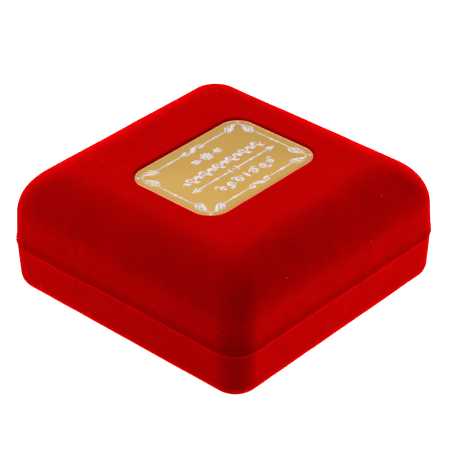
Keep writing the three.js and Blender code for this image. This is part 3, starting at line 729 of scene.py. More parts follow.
def satin_material(colour):
    """Woven satin: long warp floats with a soft gloss along them, and a faint weave."""
    material, tree, shader = new_material("white_satin")
    place = object_place(tree)
    drawn_out = scaled_along(tree, place, "Y", "DIVIDE", SATIN_FLOAT_STRETCH)
    floats = noise_mask(tree, drawn_out, SATIN_FLOAT_SIZE)
    slack = noise_mask(tree, place, SATIN_SLACK_SIZE)
    weft = node(
        tree, "ShaderNodeTexWave",
        {"Vector": place, "Scale": 1 / SATIN_WEFT_PITCH, "Distortion": 1.5, "Detail": 1.0},
        wave_type="BANDS", bands_direction="Y",
    ).outputs["Fac"]
    tone = map_range(tree, weighted(tree, (floats, 0.5), (slack, 0.5)), 0.62, 0.36)
    warm = shaded(colour, 0.86, 0.82, 0.74)
    feed(tree, shader, {
        "Base Color": mix_colour(tree, tone, opaque(colour), warm),
        "Roughness": map_range(tree, floats, 0.3, 0.7, 0.3, 0.44),
        "Sheen Weight": 0.35,
        "Sheen Roughness": 0.3,
    })
    bump(tree, shader, weighted(tree, (floats, 1.0), (weft, 0.4)), SATIN_RELIEF)
    return material


def card_material(colour):
    """Pressed board: short tangled fibres, specks and a dull surface."""
    material, tree, shader = new_material("pressed_board")
    place = object_place(tree)
    fibres = noise_mask(tree, place, BOARD_FIBRE_SIZE, detail=5.0, distortion=1.6)
    dark = shaded(colour, 0.6, 0.6, 0.6)
    pulp = mix_colour(tree, map_range(tree, fibres, 0.35, 0.7), dark, opaque(colour))
    specks = speck_mask(tree, place, BOARD_SPECK_PITCH, 0.12, 0.05)
    feed(tree, shader, {
        "Base Color": mix_colour(tree, specks, pulp, BOARD_SPECK_COLOUR),
        "Roughness": map_range(tree, fibres, 0.3, 0.7, 0.8, 0.95),
    })
    bump(tree, shader, fibres, BOARD_RELIEF)
    return material


# The two shells


def case_outline(case, inset, radius):
    """The case's outline drawn in by an inset."""
    return rounded_outline(case.width / 2 - inset, case.depth / 2 - inset, radius)


LID_CORNER_SHARE = 0.156  # how much of the inset the lid's corners tighten by
BASE_CORNER_SHARE = 0.94
BASE_INNER_FILLET = 3.6 * MM
PLATE_CORNER_RADIUS = 6.86 * MM
SEAT_GAP = 0.35 * MM
SEAT_SLIP = (-0.2 * MM, -0.4 * MM)
SEAT_EDGE_ROUND = 0.5 * MM
SEAT_WALL_TOP = 1.2 * SEAT_EDGE_ROUND  # how far below the lid's top
BACK_BEVEL = math.radians(50)
POCKET_HALF_WIDTH = 9.02 * MM
POCKET_DEPTH = 7.375 * MM
KNUCKLE_ROOM = 1.7 * MM
PILE_UNEVEN = 0.09 * MM
PILE_UNEVEN_SIZE = 9 * MM
RIM_UNEVEN = 0.14 * MM
RIM_UNEVEN_SIZE = 2.4 * MM
RIM_REACH = 2.2 * MM
PILE_REACH = 0.13 * MM  # how far the pile on each rim reaches into the seam
LID_FLARE = 0.2 * MM
LID_FLARE_HEIGHT = 3.4 * MM
RIM_BEAD = 0.16 * MM
RIM_BEAD_DROP = 0.5 * MM
RIM_BEAD_SPREAD = 0.5 * MM
RIM_BEAD_FADE = 2.5  # spreads below the bead's middle where it has died away
SEAM_LIFT = 0.85 * MM
SEAM_LIFT_REACH = 4 * MM
SEAM_LIFT_GAIN = 1.2  # the rim's very edge is lifted whole
SEAM_RISE_BACK = 32 * MM  # the seam rises in front of this Y, over a depth
SEAM_RISE_DEPTH = 36 * MM
SEAM_RISE_RIGHT = 45 * MM  # and to the left of this X, over a width
SEAM_RISE_WIDTH = 60 * MM
BASE_STEP = 0.1 * MM
UNDERSIDE_RINGS = 2  # which the uneven pile leaves level
POST_RADIUS = 2.2 * MM
POST_FOOT_RADIUS = 3 * MM
POST_INSET = 8.3 * MM


def lid_rings(case):
    """Rings from the plate's seat out over the dome, down the wall, round the rim and up inside."""
    dome_start = SEAM_HEIGHT + case.lid_wall_height
    dome_height = CASE_HEIGHT - dome_start

    def outer(inset, z):
        return ring(case_outline(case, inset, case.corner_radius - LID_CORNER_SHARE * inset), z)

    def inner(inset, z):
        radius = case.corner_radius - case.wall - LID_CORNER_SHARE * (inset - case.wall)
        return ring(case_outline(case, inset, radius), z)

    def lean(z):
        flare = LID_FLARE * max(0.0, 1 - (z - LID_RIM) / LID_FLARE_HEIGHT) ** 2
        return case.lid_draft * (z - LID_RIM) / (dome_start - LID_RIM) - flare

    plate_size = PLATE_HIGH - PLATE_LOW
    plate_radius = PLATE_CORNER_RADIUS + SEAT_GAP

    def seat(growth, z):
        edge = SEAT_GAP + growth
        outline = rounded_outline(plate_size.x / 2 + edge, plate_size.y / 2 + edge, plate_radius + growth)
        return ring(outline + np.array(SEAT_SLIP), z)

    rings = [seat(0, PLATE_LOW.z), seat(0, CASE_HEIGHT - SEAT_WALL_TOP)]
    for growth, drop in turn_in(SEAT_EDGE_ROUND, SEAT_EDGE_ROUND, EDGE_STEPS):
        rings.append(seat(growth, CASE_HEIGHT - drop))
    seat_edge = rings[-1]
    flat_edge = outer(case.lid_draft + case.dome_width, CASE_HEIGHT)
    rings += [seat_edge + (flat_edge - seat_edge) * share for share in np.linspace(0, 1, TOP_STEPS + 1)[1:]]
    for angle in quarter_turn(DOME_STEPS)[-2::-1]:
        inset = case.lid_draft + case.dome_width * (1 - math.cos(angle))
        rings.append(outer(inset, dome_start + dome_height * math.sin(angle)))
    low = LID_RIM - PILE_REACH
    wall_foot = low + case.lid_rim_round
    flare_start = LID_RIM + LID_FLARE_HEIGHT
    rings += [outer(lean(z), z) for z in np.linspace(dome_start, flare_start, WALL_STEPS + 1)[1:]]
    rings += [outer(lean(z), z) for z in np.linspace(flare_start, wall_foot, WALL_STEPS + 1)[1:]]
    for inward, rise in turn_out(case.lid_rim_tuck, case.lid_rim_round, EDGE_STEPS)[-2::-1]:
        rings.append(outer(lean(low + rise) + inward, low + rise))
    outside = len(rings)
    rings.append(inner(case.wall, low))
    inner_width = case.dome_width - case.wall
    inner_height = dome_height - case.lid_top_wall
    for angle in quarter_turn(EDGE_STEPS * 2):
        inset = case.wall + inner_width * (1 - math.cos(angle))
        rings.append(inner(inset, dome_start + inner_height * math.sin(angle)))
    return rings, outside


def back_bevel(case):
    """The wedge taken off both rims behind the hinge line."""
    reach = case.depth / 2 - PIN_Y + OVERRUN
    rise = reach * math.tan(BACK_BEVEL)
    wedge = [
        (PIN_Y, SEAM_HEIGHT),
        (PIN_Y + reach, SEAM_HEIGHT - rise),
        (PIN_Y + reach, SEAM_HEIGHT + rise),
    ]
    return along_x(wedge, -case.width / 2, case.width / 2)


def hinge_middles():
    """The middle of each hinge along X."""
    boxes = [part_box(f"{side}_hinge_pin") for side in HINGE_SIDES]
    return [(low.x + high.x) / 2 for low, high in boxes]


def hinge_room(case, middle, low, high, growth=0.0, past=0.0):
    """A block round one hinge, from the case's back or past it inwards."""
    back = case.depth / 2
    return block(
        (middle - POCKET_HALF_WIDTH - growth, back - POCKET_DEPTH - growth, low),
        (middle + POCKET_HALF_WIDTH + growth, back + past, high),
    )


def base_rings(case):
    """Rings from the underside out round the foot, up the wall, round the rim and down inside."""
    def outer(inset, z):
        return ring(case_outline(case, inset, case.corner_radius - BASE_CORNER_SHARE * inset), z)

    def lean(z):
        bead = RIM_BEAD * math.exp(-(((BASE_RIM - RIM_BEAD_DROP - z) / RIM_BEAD_SPREAD) ** 2))
        return case.base_draft * (BASE_RIM - z) / (BASE_RIM - case.foot_height) + BASE_STEP - bead

    rings = []
    for inward, rise in turn_out(case.foot_width, case.foot_height, EDGE_STEPS * 2):
        rings.append(outer(case.base_draft + BASE_STEP + inward, rise))
    top = BASE_RIM + PILE_REACH
    wall_top = top - case.base_rim_round
    bead_start = BASE_RIM - RIM_BEAD_DROP - RIM_BEAD_FADE * RIM_BEAD_SPREAD
    rings += [outer(lean(z), z) for z in np.linspace(case.foot_height, bead_start, WALL_STEPS + 1)[1:]]
    rings += [outer(lean(z), z) for z in np.linspace(bead_start, wall_top, WALL_STEPS + 1)[1:]]
    for inward, drop in turn_in(case.base_rim_round, case.base_rim_round, EDGE_STEPS)[1:]:
        rings.append(outer(lean(top - drop) + inward, top - drop))
    outside = len(rings)
    radius = case.corner_radius - case.wall
    rings.append(ring(case_outline(case, case.wall, radius), top))
    for inward, rise in turn_out(BASE_INNER_FILLET, BASE_INNER_FILLET, EDGE_STEPS)[::-1]:
        outline = case_outline(case, case.wall + inward, radius - BASE_CORNER_SHARE * inward)
        rings.append(ring(outline, case.floor + rise))
    return rings, outside


def seam_rise(x, y):
    """How far the seam runs above its height at the hinges: most at the left of the front."""
    ahead = min(1.0, max(0.0, (SEAM_RISE_BACK - y) / SEAM_RISE_DEPTH))
    leftward = min(1.0, max(0.0, (SEAM_RISE_RIGHT - x) / SEAM_RISE_WIDTH))
    return SEAM_LIFT * ahead * ahead * (3 - 2 * ahead) * leftward


def raise_rim(obj, rim):
    """Lifts the edge of a shell to where its seam runs."""
    for vertex in obj.data.vertices:
        near = max(0.0, 1 - abs(vertex.co.z - rim) / SEAM_LIFT_REACH)
        vertex.co.z += seam_rise(vertex.co.x, vertex.co.y) * min(1.0, near * SEAM_LIFT_GAIN)


def hinge_shell(case, name, rings, first, last, rim, low, high):
    """A shell with uneven pile outside, from one ring to another, and room for the hinges in its rim."""
    shell = skin(name, rings)
    count = len(rings[0])
    ruffle(shell, first * count, last * count, PILE_UNEVEN, PILE_UNEVEN_SIZE)
    ruffle(shell, first * count, last * count, RIM_UNEVEN, RIM_UNEVEN_SIZE, rim, RIM_REACH)
    raise_rim(shell, rim)
    gaps = [hinge_room(case, middle, low, high, past=OVERRUN) for middle in hinge_middles()]
    combine(shell, [back_bevel(case), *gaps])
    return shell


def outer_flock(looks):
    """The case's own flock with its painted shade, made once."""
    return bpy.data.materials.get("case_flock") or flock_material(
        "case_flock", looks.flock, looks.flock_sheen, lint=1.0, shade_painted=True
    )


def insert_posts(case):
    """The four tapered posts in the base that the insert rests on."""
    x = case.width / 2 - case.wall - POST_INSET
    y = case.depth / 2 - case.wall - POST_INSET
    sunk = case.floor / 2
    profile = [(0, sunk), (POST_FOOT_RADIUS, sunk), (POST_FOOT_RADIUS, case.floor)]
    profile += [(POST_RADIUS, TRAY_UNDERSIDE), (0, TRAY_UNDERSIDE)]
    return [turned("post", profile, ROUND_SIDES, (sx * x, sy * y)) for sx in (-1, 1) for sy in (-1, 1)]


class BuildLidShell(bpy.types.Operator):
    """Model the domed lid with the plate's seat and the hinge gaps"""

    bl_idname = "cased_medal.lid_shell"
    bl_label = "Lid Shell"

    def execute(self, context):
        case = context.scene.case_sizes
        rings, outside = lid_rings(case)
        lid = hinge_shell(
            case, "lid_outer_shell", rings, 0, outside, LID_RIM,
            SEAM_HEIGHT - OVERRUN, SEAM_HEIGHT + KNUCKLE_ROOM,
        )
        dress(lid, outer_flock(context.scene.case_looks))
        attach(lid, "case_lid")
        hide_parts("lid_shell")
        return {"FINISHED"}


class BuildBaseShell(bpy.types.Operator):
    """Model the base with its rounded foot, rim and hinge gaps"""

    bl_idname = "cased_medal.base_shell"
    bl_label = "Base Shell"

    def execute(self, context):
        case = context.scene.case_sizes
        rings, outside = base_rings(case)
        base = hinge_shell(
            case, "base_outer_shell", rings, UNDERSIDE_RINGS, outside, BASE_RIM,
            SEAM_HEIGHT - KNUCKLE_ROOM, SEAM_HEIGHT + OVERRUN,
        )
        combine(base, insert_posts(case), "UNION")
        dress(base, outer_flock(context.scene.case_looks))
        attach(base, "case_base")
        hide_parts("base_shell")
        return {"FINISHED"}


# Stray fibres of the pile

FIBRE_RADIUS = 0.055 * MM
FIBRE_COUNT = 80
FIBRE_SIDES = 4
FIBRE_POINTS = 5
FIBRE_SEED = 11
FIBRE_LENGTH = 0.9 * MM
FIBRE_LEVEL = 0.75  # the share of its length that it reaches outwards
FIBRE_ROOT = 0.15 * MM  # how deep it starts in the pile
FIBRE_SETBACK = 0.1 * MM
FIBRE_TURN = 2.4  # radians of the wave that it sways along
FIBRE_TAPER = 0.18  # how much of its radius it loses from point to point
FIBRE_HINGE_GAP = 4 * MM  # none grows nearer to the hinge line
TUFT_LENGTH = 2.2 * MM
TUFT_RADIUS = 1.8 * FIBRE_RADIUS
TUFTS = ((-0.6, 0.62, 9, "case_lid"), (0.62, -0.6, 7, "case_lid"), (-0.55, -0.6, 4, "case_base"))


def fibre(place, outward, length, lift, sway, thick):
    """A bent, tapering fibre that leaves the pile at a place."""
    along = Vector((-outward.y, outward.x, 0))
    up = Vector((0, 0, 1))
    path = [
        place + outward * (length * share * FIBRE_LEVEL - FIBRE_ROOT) + up * (lift * length * share**2)
        + along * (sway * length * math.sin(share * FIBRE_TURN))
        for share in np.linspace(0, 1, FIBRE_POINTS)
    ]
    sections = []
    for index, point in enumerate(path):
        ahead = (path[min(index + 1, FIBRE_POINTS - 1)] - path[max(index - 1, 0)]).normalized()
        side = ahead.orthogonal().normalized()
        other = ahead.cross(side)
        radius = thick * (1 - FIBRE_TAPER * index)
        sections.append([
            point + (side * math.cos(angle) + other * math.sin(angle)) * radius
            for angle in np.linspace(0, 2 * math.pi, FIBRE_SIDES, endpoint=False)
        ])
    return tube(sections)


class BuildFibres(bpy.types.Operator):
    """Pull stray fibres of the pile along both rims and the foot, with a few tufts"""

    bl_idname = "cased_medal.fibres"
    bl_label = "Stray Fibres"

    def execute(self, context):
        case = context.scene.case_sizes
        chance = random.Random(FIBRE_SEED)
        outline = case_outline(case, 0, case.corner_radius)
        steps = np.roll(outline, -1, axis=0) - np.roll(outline, 1, axis=0)
        parts = {"case_lid": [], "case_base": []}

        def grow(index, body, height, longest, thick):
            step = steps[index]
            outward = Vector((step[1], -step[0], 0)).normalized()
            place = Vector((*outline[index], height)) - outward * FIBRE_SETBACK
            parts[body].append(fibre(
                place, outward, chance.uniform(0.35, 1) * longest, chance.uniform(-0.7, 0.9),
                chance.uniform(-0.6, 0.6), thick,
            ))

        for _ in range(FIBRE_COUNT):
            index = chance.randrange(len(outline))
            if abs(outline[index][1] - PIN_Y) < FIBRE_HINGE_GAP:
                continue
            body = chance.choice(("case_lid", "case_base"))
            height = LID_RIM + seam_rise(*outline[index]) + chance.uniform(0, 0.8) * MM
            if body == "case_base":
                height = chance.choice((BASE_RIM - chance.uniform(0, 0.6) * MM, case.foot_height * 0.9))
            grow(index, body, height, FIBRE_LENGTH, FIBRE_RADIUS)
        for x, y, count, body in TUFTS:
            nearest = np.argmin(np.hypot(*(outline - np.array([x, y]) * case.width).T))
            for _ in range(count):
                index = (nearest + chance.randrange(-2, 3)) % len(outline)
                height = LID_RIM + seam_rise(*outline[index]) + chance.uniform(0.2, 1.0) * MM
                if body == "case_base":
                    height = case.foot_height
                grow(index, body, height, TUFT_LENGTH, TUFT_RADIUS)
        for body, fibres in parts.items():
            piece = joined("lid_fibres" if body == "case_lid" else "base_fibres", fibres)
            dress(piece, outer_flock(context.scene.case_looks))
            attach(piece, body)
        return {"FINISHED"}


# The name plate

PLATE_SLIP = Vector((-0.3, -0.55, 0)) * MM  # the plate is laid by hand
PLATE_EDGE_ROUND = 0.1 * MM
PLATE_RIM_WIDTH = 0.5 * MM
PLATE_RIM_RISE = 0.03 * MM
PLATE_RIM_ROUND = 0.08 * MM
PLATE_RIM_SINK = 0.2 * MM
PRINT_RISE = 0.02 * MM
PRINT_SINK = 0.05 * MM
PRINT_LAYERS = 11  # strokes that cross lie in different layers
PRINT_LAYER = 0.002 * MM
# where the painted shadow under the print is moved to, and how far lower it sits
SHADE_SHIFT = (0.17, -0.2)
SHADE_DROP = 0.012 * MM
FINE_LINE = 0.45  # millimetres, as all of the border's places and widths
LEAF_TAPER = (0.2, 0.85, 1.0, 0.2)
RULE_TAPER = (0.2, FINE_LINE, FINE_LINE, 0.2)
DIAMOND = (0.1, 1.0, 0.1)

CORNER_FLOURISH = (
    ((-23.05, 13.85), (-22.4, 15.0), (-21.1, 15.2), (-19.6, 14.3), (-17.9, 13.25), (-16.1, 13.15)),
    ((-21.3, 16.0), (-20.1, 15.3), (-18.6, 14.1), (-16.9, 13.35)),
    ((-19.9, 16.35), (-18.8, 15.6), (-17.7, 14.45), (-16.2, 13.6)),
    ((-18.4, 16.45), (-17.4, 15.65), (-16.7, 14.7), (-15.4, 14.2)),
    ((-23.2, 14.3), (-22.75, 12.95), (-21.75, 11.45), (-21.15, 9.9), (-21.5, 8.3), (-22.4, 7.3)),
    ((-23.8, 13.3), (-23.0, 11.95), (-22.1, 10.55), (-21.9, 8.6)),
    ((-24.35, 12.15), (-23.5, 10.85), (-22.65, 9.6), (-22.3, 8.1)),
    ((-24.4, 10.6), (-23.8, 9.6), (-23.0, 8.7), (-22.6, 7.5)),
)
MIDDLE_LEAF = ((-4.4, 14.2), (-3.2, 13.65), (-1.9, 13.5), (-0.8, 14.05), (0.2, 15.0), (1.2, 15.8))
MIDDLE_VEIN = ((-0.95, 13.1), (0.0, 13.95), (0.9, 14.85), (1.85, 15.7))
MIDDLE_CURL = ((-4.7, 14.4), (-3.7, 14.85), (-2.6, 14.95), (-1.8, 14.6))
MIDDLE = (0.45, 14.4)
DIVIDER_Y = -3.2
DIVIDER_MIDDLE = 0.75


def smooth_path(points, steps=8):
    """A curve through the points."""
    points = np.asarray(points, dtype=float)
    ends = [2 * points[:1] - points[1:2], points, 2 * points[-1:] - points[-2:-1]]
    run = np.concatenate(ends)
    share = np.linspace(0, 1, steps, endpoint=False)[:, None]
    parts = []
    for a, b, c, d in zip(run, run[1:], run[2:], run[3:]):
        parts.append(0.5 * (
            2 * b + (c - a) * share + (2 * a - 5 * b + 4 * c - d) * share**2
            + (3 * b - a - 3 * c + d) * share**3
        ))
    return np.concatenate([*parts, points[-1:]])


def stroke(points, widths, low, high):
    """A tapering line of print along a curve, between two heights. The curve is in millimetres."""
    path = smooth_path(points)
    places = np.linspace(0, 1, len(path))
    half = np.interp(places, np.linspace(0, 1, len(widths)), widths) / 2
    across = sideways(path) * half[:, None]
    edges = ((path + across, low), (path - across, low), (path - across, high), (path + across, high))
    sections = [np.column_stack([edge * MM, np.full(len(path), z)]) for edge, z in edges]
    return tube(np.stack(sections, axis=1))


def dot(x, y, radius):
    """A round dot of print, as a line whose width rises and falls."""
    places = np.linspace(-0.98, 0.98, 9)
    return [(x + radius * place, y) for place in places], 2 * radius * np.sqrt(1 - places**2)


def mirrored(lines, x_signs=(1, -1), y_signs=(1, -1)):
    """The lines, and their mirror images left and right and front and back."""
    return [
        ([(x * sx, y * sy) for x, y in points], widths)
        for points, widths in lines for sx in x_signs for sy in y_signs
    ]


def shifted(lines, across, up):
    """The lines moved by a step."""
    return [([(x + across, y + up) for x, y in points], widths) for points, widths in lines]


def printed(name, lines, low, high):
    """One mesh of all the lines, each in its layer."""
    return joined(name, [
        stroke(points, widths, low, high + index % PRINT_LAYERS * PRINT_LAYER)
        for index, (points, widths) in enumerate(lines)
    ])


def turned_about(points, x, y):
    """The points turned half round a middle."""
    return [(2 * x - px, 2 * y - py) for px, py in points]


def printed_frame():
    """The frame's lines and flourishes: four corners, four sides and the middles of top and bottom."""
    leaf = tuple(0.6 * share for share in LEAF_TAPER)
    lines = mirrored([(points, leaf) for points in CORNER_FLOURISH])
    side = [((-15.6, 14.4), (-10.2, 14.4), (-4.8, 14.4)), ((-12.9, 14.4), (-11.4, 14.4), (-9.9, 14.4))]
    lines += mirrored([(side[0], RULE_TAPER), (side[1], DIAMOND)])
    upright = [((-22.8, 7.2), (-22.8, 0), (-22.8, -7.2)), ((-22.8, 1.5), (-22.8, 0), (-22.8, -1.5))]
    lines += mirrored([(upright[0], RULE_TAPER), (upright[1], DIAMOND)], y_signs=(1,))
    lines += mirrored([dot(-23.55, 15.6, 0.5)])
    middle = [(MIDDLE_VEIN, leaf)]
    for points, widths in ((MIDDLE_LEAF, leaf), (MIDDLE_CURL, (0.2, 0.95, 0.95, 0.25))):
        middle += [(points, widths), (turned_about(points, *MIDDLE), widths)]
    return lines + mirrored(middle, x_signs=(1,))


def printed_divider():
    """The line across the plate: arrowheads at its ends, two swellings and a diamond in its middle."""
    lines = []
    for sign in (-1, 1):
        x = [DIVIDER_MIDDLE + sign * reach for reach in (1.6, 8.0, 11.0, 17.2, 19.2)]
        y = DIVIDER_Y
        lines.append((((x[0], y), (x[2], y), (x[3], y)), (FINE_LINE, FINE_LINE)))
        lines.append((((x[1] - sign * 1.8, y), (x[1], y), (x[1] + sign * 1.8, y)), DIAMOND))
        lines.append((((x[3] - sign * 0.2, y), (x[3] + sign * 0.7, y), (x[4], y)), (2.2, 1.3, 0.1)))
        for end in (-1, 1):
            barb = ((x[3] - sign * 1.0, y + end * 1.25), (x[3] - sign * 0.4, y + end * 0.8), (x[3], y))
            lines.append((barb, (0.15, 0.5, 0.5)))
            bracket = (
                (DIVIDER_MIDDLE + sign * 1.0, y + end * 1.2),
                (DIVIDER_MIDDLE + sign * 1.6, y + end * 0.75),
                (DIVIDER_MIDDLE + sign * 1.5, y),
            )
            lines.append((bracket, (0.15, 0.5, 0.4)))
    lines.append(([(DIVIDER_MIDDLE + reach, DIVIDER_Y) for reach in (-0.6, 0, 0.6)], DIAMOND))
    return lines


def printed_rosette():
    """A rosette of eight petals between two sprigs, above the middle."""
    x, y = DIVIDER_MIDDLE, 8.5
    lines = [dot(x, y, 0.5)]
    for index in range(8):
        angle = index * math.pi / 4 + math.pi / 8
        place = [(x + r * math.cos(angle), y + r * math.sin(angle)) for r in (0.75, 1.5, 2.3)]
        lines.append((place, (0.3, 1.2, 0.15)))
    for sign in (-1, 1):
        stem = [(x + sign * r, y + 0.35 * math.sin(r * 1.4)) for r in (3.0, 4.2, 5.4, 6.6)]
        lines.append((stem, (0.5, 0.4, 0.2)))
        for reach in (3.8, 5.0):
            for end in (-1, 1):
                leaf = [(x + sign * (reach + a), y + end * b) for a, b in ((0, 0.1), (0.6, 0.7), (1.4, 0.95))]
                lines.append((leaf, (0.2, 0.9, 0.15)))
    return lines


def printed_garland():
    """A long wavy garland with leaves on both sides and berries in its hollows."""
    low, high, y = -17.6, 19.1, 1.7

    def wave(x):
        return y + 0.65 * math.sin((x - low) * 2 * math.pi / 6.1)

    stem_x = np.linspace(low, high, 49)
    lines = [([(x, wave(x)) for x in stem_x], (0.2, 0.55, 0.55, 0.55, 0.2))]
    for index, x in enumerate(np.arange(low + 1.0, high - 1.6, 1.53)):
        end = 1 if index % 2 else -1
        base = wave(x)
        leaf = [(x, base), (x + 0.75, base + end * 1.0), (x + 1.85, base + end * 1.5)]
        lines.append((leaf, (0.2, 1.25, 0.15)))
    for index, x in enumerate(np.arange(low + 1.52, high - 1, 3.05)):
        lines.append(dot(x, wave(x) + (-1.4 if index % 2 == 0 else 1.4), 0.42))
    return lines


def printed_scrolls():
    """A shorter row of paired scrolls on both sides of a diamond, below the divider."""
    x, y = 1.2, -8.5
    lines = [(((x, y - 1.9), (x, y), (x, y + 1.9)), (0.12, 1.3, 0.12))]
    for sign in (-1, 1):
        for index, reach in enumerate((3.2, 7.3, 11.0)):
            end = 1 if index % 2 == 0 else -1
            size = (1.75, 1.55, 1.2)[index]
            turn = np.linspace(0.3, 2.9, 16) * math.pi
            radius = size * np.linspace(0.12, 1.0, 16)
            curl = [
                (x + sign * (reach + r * math.cos(a)), y + end * (r * math.sin(a) - 0.2))
                for a, r in zip(turn, radius)
            ]
            lines.append((curl, (0.75, 0.5, 0.6, 0.85, 0.2)))
            leaf = [(x + sign * (reach + a), y + end * b) for a, b in ((0.2, 1.5), (1.3, 2.0), (2.4, 1.4))]
            lines.append((leaf, (0.2, 1.05, 0.15)))
    return lines


def plate_ring(inset, z):
    """The plate's outline drawn in by an inset, at a height."""
    size = PLATE_HIGH - PLATE_LOW
    return ring(rounded_outline(size.x / 2 - inset, size.y / 2 - inset, PLATE_CORNER_RADIUS - inset), z)


def plate_glint_rim():
    """The narrow edge strip round the plate, which carries a painted highlight and a painted reflection of
    the red pile.
    """
    top = PLATE_HIGH.z + PLATE_RIM_RISE
    turn = PLATE_RIM_ROUND
    section = (
        (0, top - PLATE_RIM_SINK), (0, top - turn), (turn * 0.3, top - turn * 0.3), (turn, top),
        (PLATE_RIM_WIDTH - turn, top), (PLATE_RIM_WIDTH, top - PLATE_RIM_SINK),
    )
    around = np.stack([plate_ring(inset, z) for inset, z in section], axis=1)
    rows, count = around.shape[:2]
    here = np.arange(rows * count).reshape(rows, count)
    following = np.roll(here, -1, axis=0)
    corners = (here, following, np.roll(following, -1, axis=1), np.roll(here, -1, axis=1))
    faces = np.stack([corner.ravel() for corner in corners], axis=1)
    return add_mesh("plate_glint_rim", around.reshape(-1, 3), faces.tolist())


class BuildNamePlate(bpy.types.Operator):
    """Model the gold plate with its edge strip, coloured as a painted highlight and reflection, and its
    printed border
    """

    bl_idname = "cased_medal.name_plate"
    bl_label = "Name Plate"

    def execute(self, context):
        looks = context.scene.case_looks
        rings = [plate_ring(0, PLATE_LOW.z)]
        for inset, drop in turn_in(PLATE_EDGE_ROUND, PLATE_EDGE_ROUND, 3):
            rings.append(plate_ring(inset, PLATE_HIGH.z - drop))
        plate = skin("gold_plate", rings)
        dress(plate, metal_material("satin_gold", looks.plate, metallic=0.2))
        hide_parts("name_plate")
        rim = plate_glint_rim()
        # the edge strip's colour is a painted highlight and a painted reflection of the red pile
        dress(rim, metal_material("painted_glint_edge", looks.plate_glint_rim, metallic=0.35))
        lines = printed_frame() + printed_divider() + printed_rosette() + printed_garland()
        lines += printed_scrolls()
        low, high = PLATE_HIGH.z - PRINT_SINK, PLATE_HIGH.z + PRINT_RISE
        border = printed("plate_border", lines, low, high)
        dress(border, print_material("plate_print", looks.print_ink))
        # a painted shadow: the same lines shifted to one side, set lower and in a darker colour
        shade = printed("plate_border_shade", shifted(lines, *SHADE_SHIFT), low, high - SHADE_DROP)
        dress(shade, print_material("plate_print_shade", looks.print_shade))
        for piece in (plate, rim, border, shade):
            piece.data.transform(Matrix.Translation(PLATE_SLIP))
            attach(piece, "case_lid")
        return {"FINISHED"}


# The insert

TRAY_SHEET = 1.2 * MM
TRAY_COLLAR_ROUND = 0.4 * MM
TRAY_TOP_DROP = 1.5 * MM
TRAY_EDGE_ROUND = 0.8 * MM
TRAY_CORNER_RADIUS = 6.6 * MM
TRAY_REMESH = 0.58 * MM
RECESS_GAP = 0.5 * MM
RECESS_FILLET = 0.6 * MM
WELL_RADIUS = 9 * MM
WELL_DEPTH = 8 * MM
WELL_FILLET = 3 * MM
MEDAL_RADIUS = (MEDAL_HIGH.x - MEDAL_LOW.x) / 2
TRAY_TOP = SEAM_HEIGHT - TRAY_TOP_DROP
TRAY_UNDERSIDE = TRAY_TOP - TRAY_SHEET


def sink(radius, floor, fillet, centre):
    """A round sink with a rounded mouth and foot."""
    foot = [(radius - inward, floor + rise) for inward, rise in turn_out(fillet, fillet, EDGE_STEPS)]
    edge = turn_in(TRAY_EDGE_ROUND, TRAY_EDGE_ROUND, EDGE_STEPS)
    mouth = [(radius + outward, TRAY_TOP - drop) for outward, drop in edge]
    top = TRAY_TOP + OVERRUN
    profile = [(0, floor), *foot, *mouth, (radius + TRAY_EDGE_ROUND, top), (0, top)]
    return turned("sink", profile, SINK_SIDES, centre)


def sink_body(radius, floor, fillet, centre):
    """What the sheet takes up round a sink below the insert's top."""
    outer = radius + TRAY_SHEET
    low = floor - TRAY_SHEET
    bend = fillet + TRAY_SHEET
    foot = [(outer - inward, low + rise) for inward, rise in turn_out(bend, bend, EDGE_STEPS)]
    shoulder = (outer + TRAY_EDGE_ROUND, TRAY_TOP)
    profile = [(0, low), *foot, (outer, TRAY_UNDERSIDE), shoulder, (0, TRAY_TOP)]
    return turned("sink_body", profile, SINK_SIDES, centre)


class BuildInsert(bpy.types.Operator):
    """Form the flocked insert with its recess, finger wells, collar and hinge pockets"""

    bl_idname = "cased_medal.insert"
    bl_label = "Insert"

    def execute(self, context):
        case = context.scene.case_sizes
        looks = context.scene.case_looks
        half_width, half_depth = TRAY_HIGH.x, TRAY_HIGH.y

        def level(inset, z):
            outline = rounded_outline(half_width - inset, half_depth - inset, TRAY_CORNER_RADIUS - inset)
            return ring(outline, z)

        edge = turn_in(TRAY_COLLAR_ROUND, TRAY_COLLAR_ROUND, 4)
        collar = [level(inset, TRAY_HIGH.z - drop) for inset, drop in edge]
        well_floor = TRAY_TOP - WELL_DEPTH
        sinks = [
            (MEDAL_RADIUS + RECESS_GAP, MEDAL_LOW.z, RECESS_FILLET, (0, 0)),
            (WELL_RADIUS, well_floor, WELL_FILLET, (-MEDAL_RADIUS, 0)),
            (WELL_RADIUS, well_floor, WELL_FILLET, (MEDAL_RADIUS, 0)),
        ]
        above = skin("above", [level(TRAY_SHEET, TRAY_TOP), level(TRAY_SHEET, TRAY_HIGH.z + OVERRUN)])
        below = skin("below", [level(TRAY_SHEET, TRAY_LOW.z - OVERRUN), level(TRAY_SHEET, TRAY_UNDERSIDE)])
        combine(below, [sink_body(*values) for values in sinks])
        reach = (0, TRAY_HIGH.z + OVERRUN)
        for middle in hinge_middles():
            combine(above, [hinge_room(case, middle, *reach, growth=TRAY_SHEET)])
            combine(below, [hinge_room(case, middle, *reach, growth=TRAY_SHEET)])
        insert = skin("flocked_insert", [level(0, TRAY_LOW.z), *collar])
        combine(insert, [above, below, *(sink(*values) for values in sinks)])
        combine(insert, [hinge_room(case, middle, *reach) for middle in hinge_middles()])
        soften(insert, TRAY_REMESH, 4)
        dress(insert, flock_material("insert_pile", looks.flock, looks.insert_sheen, lint=0.4))
        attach(insert, "case_base")
        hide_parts("insert_tray")
        return {"FINISHED"}


# The medal

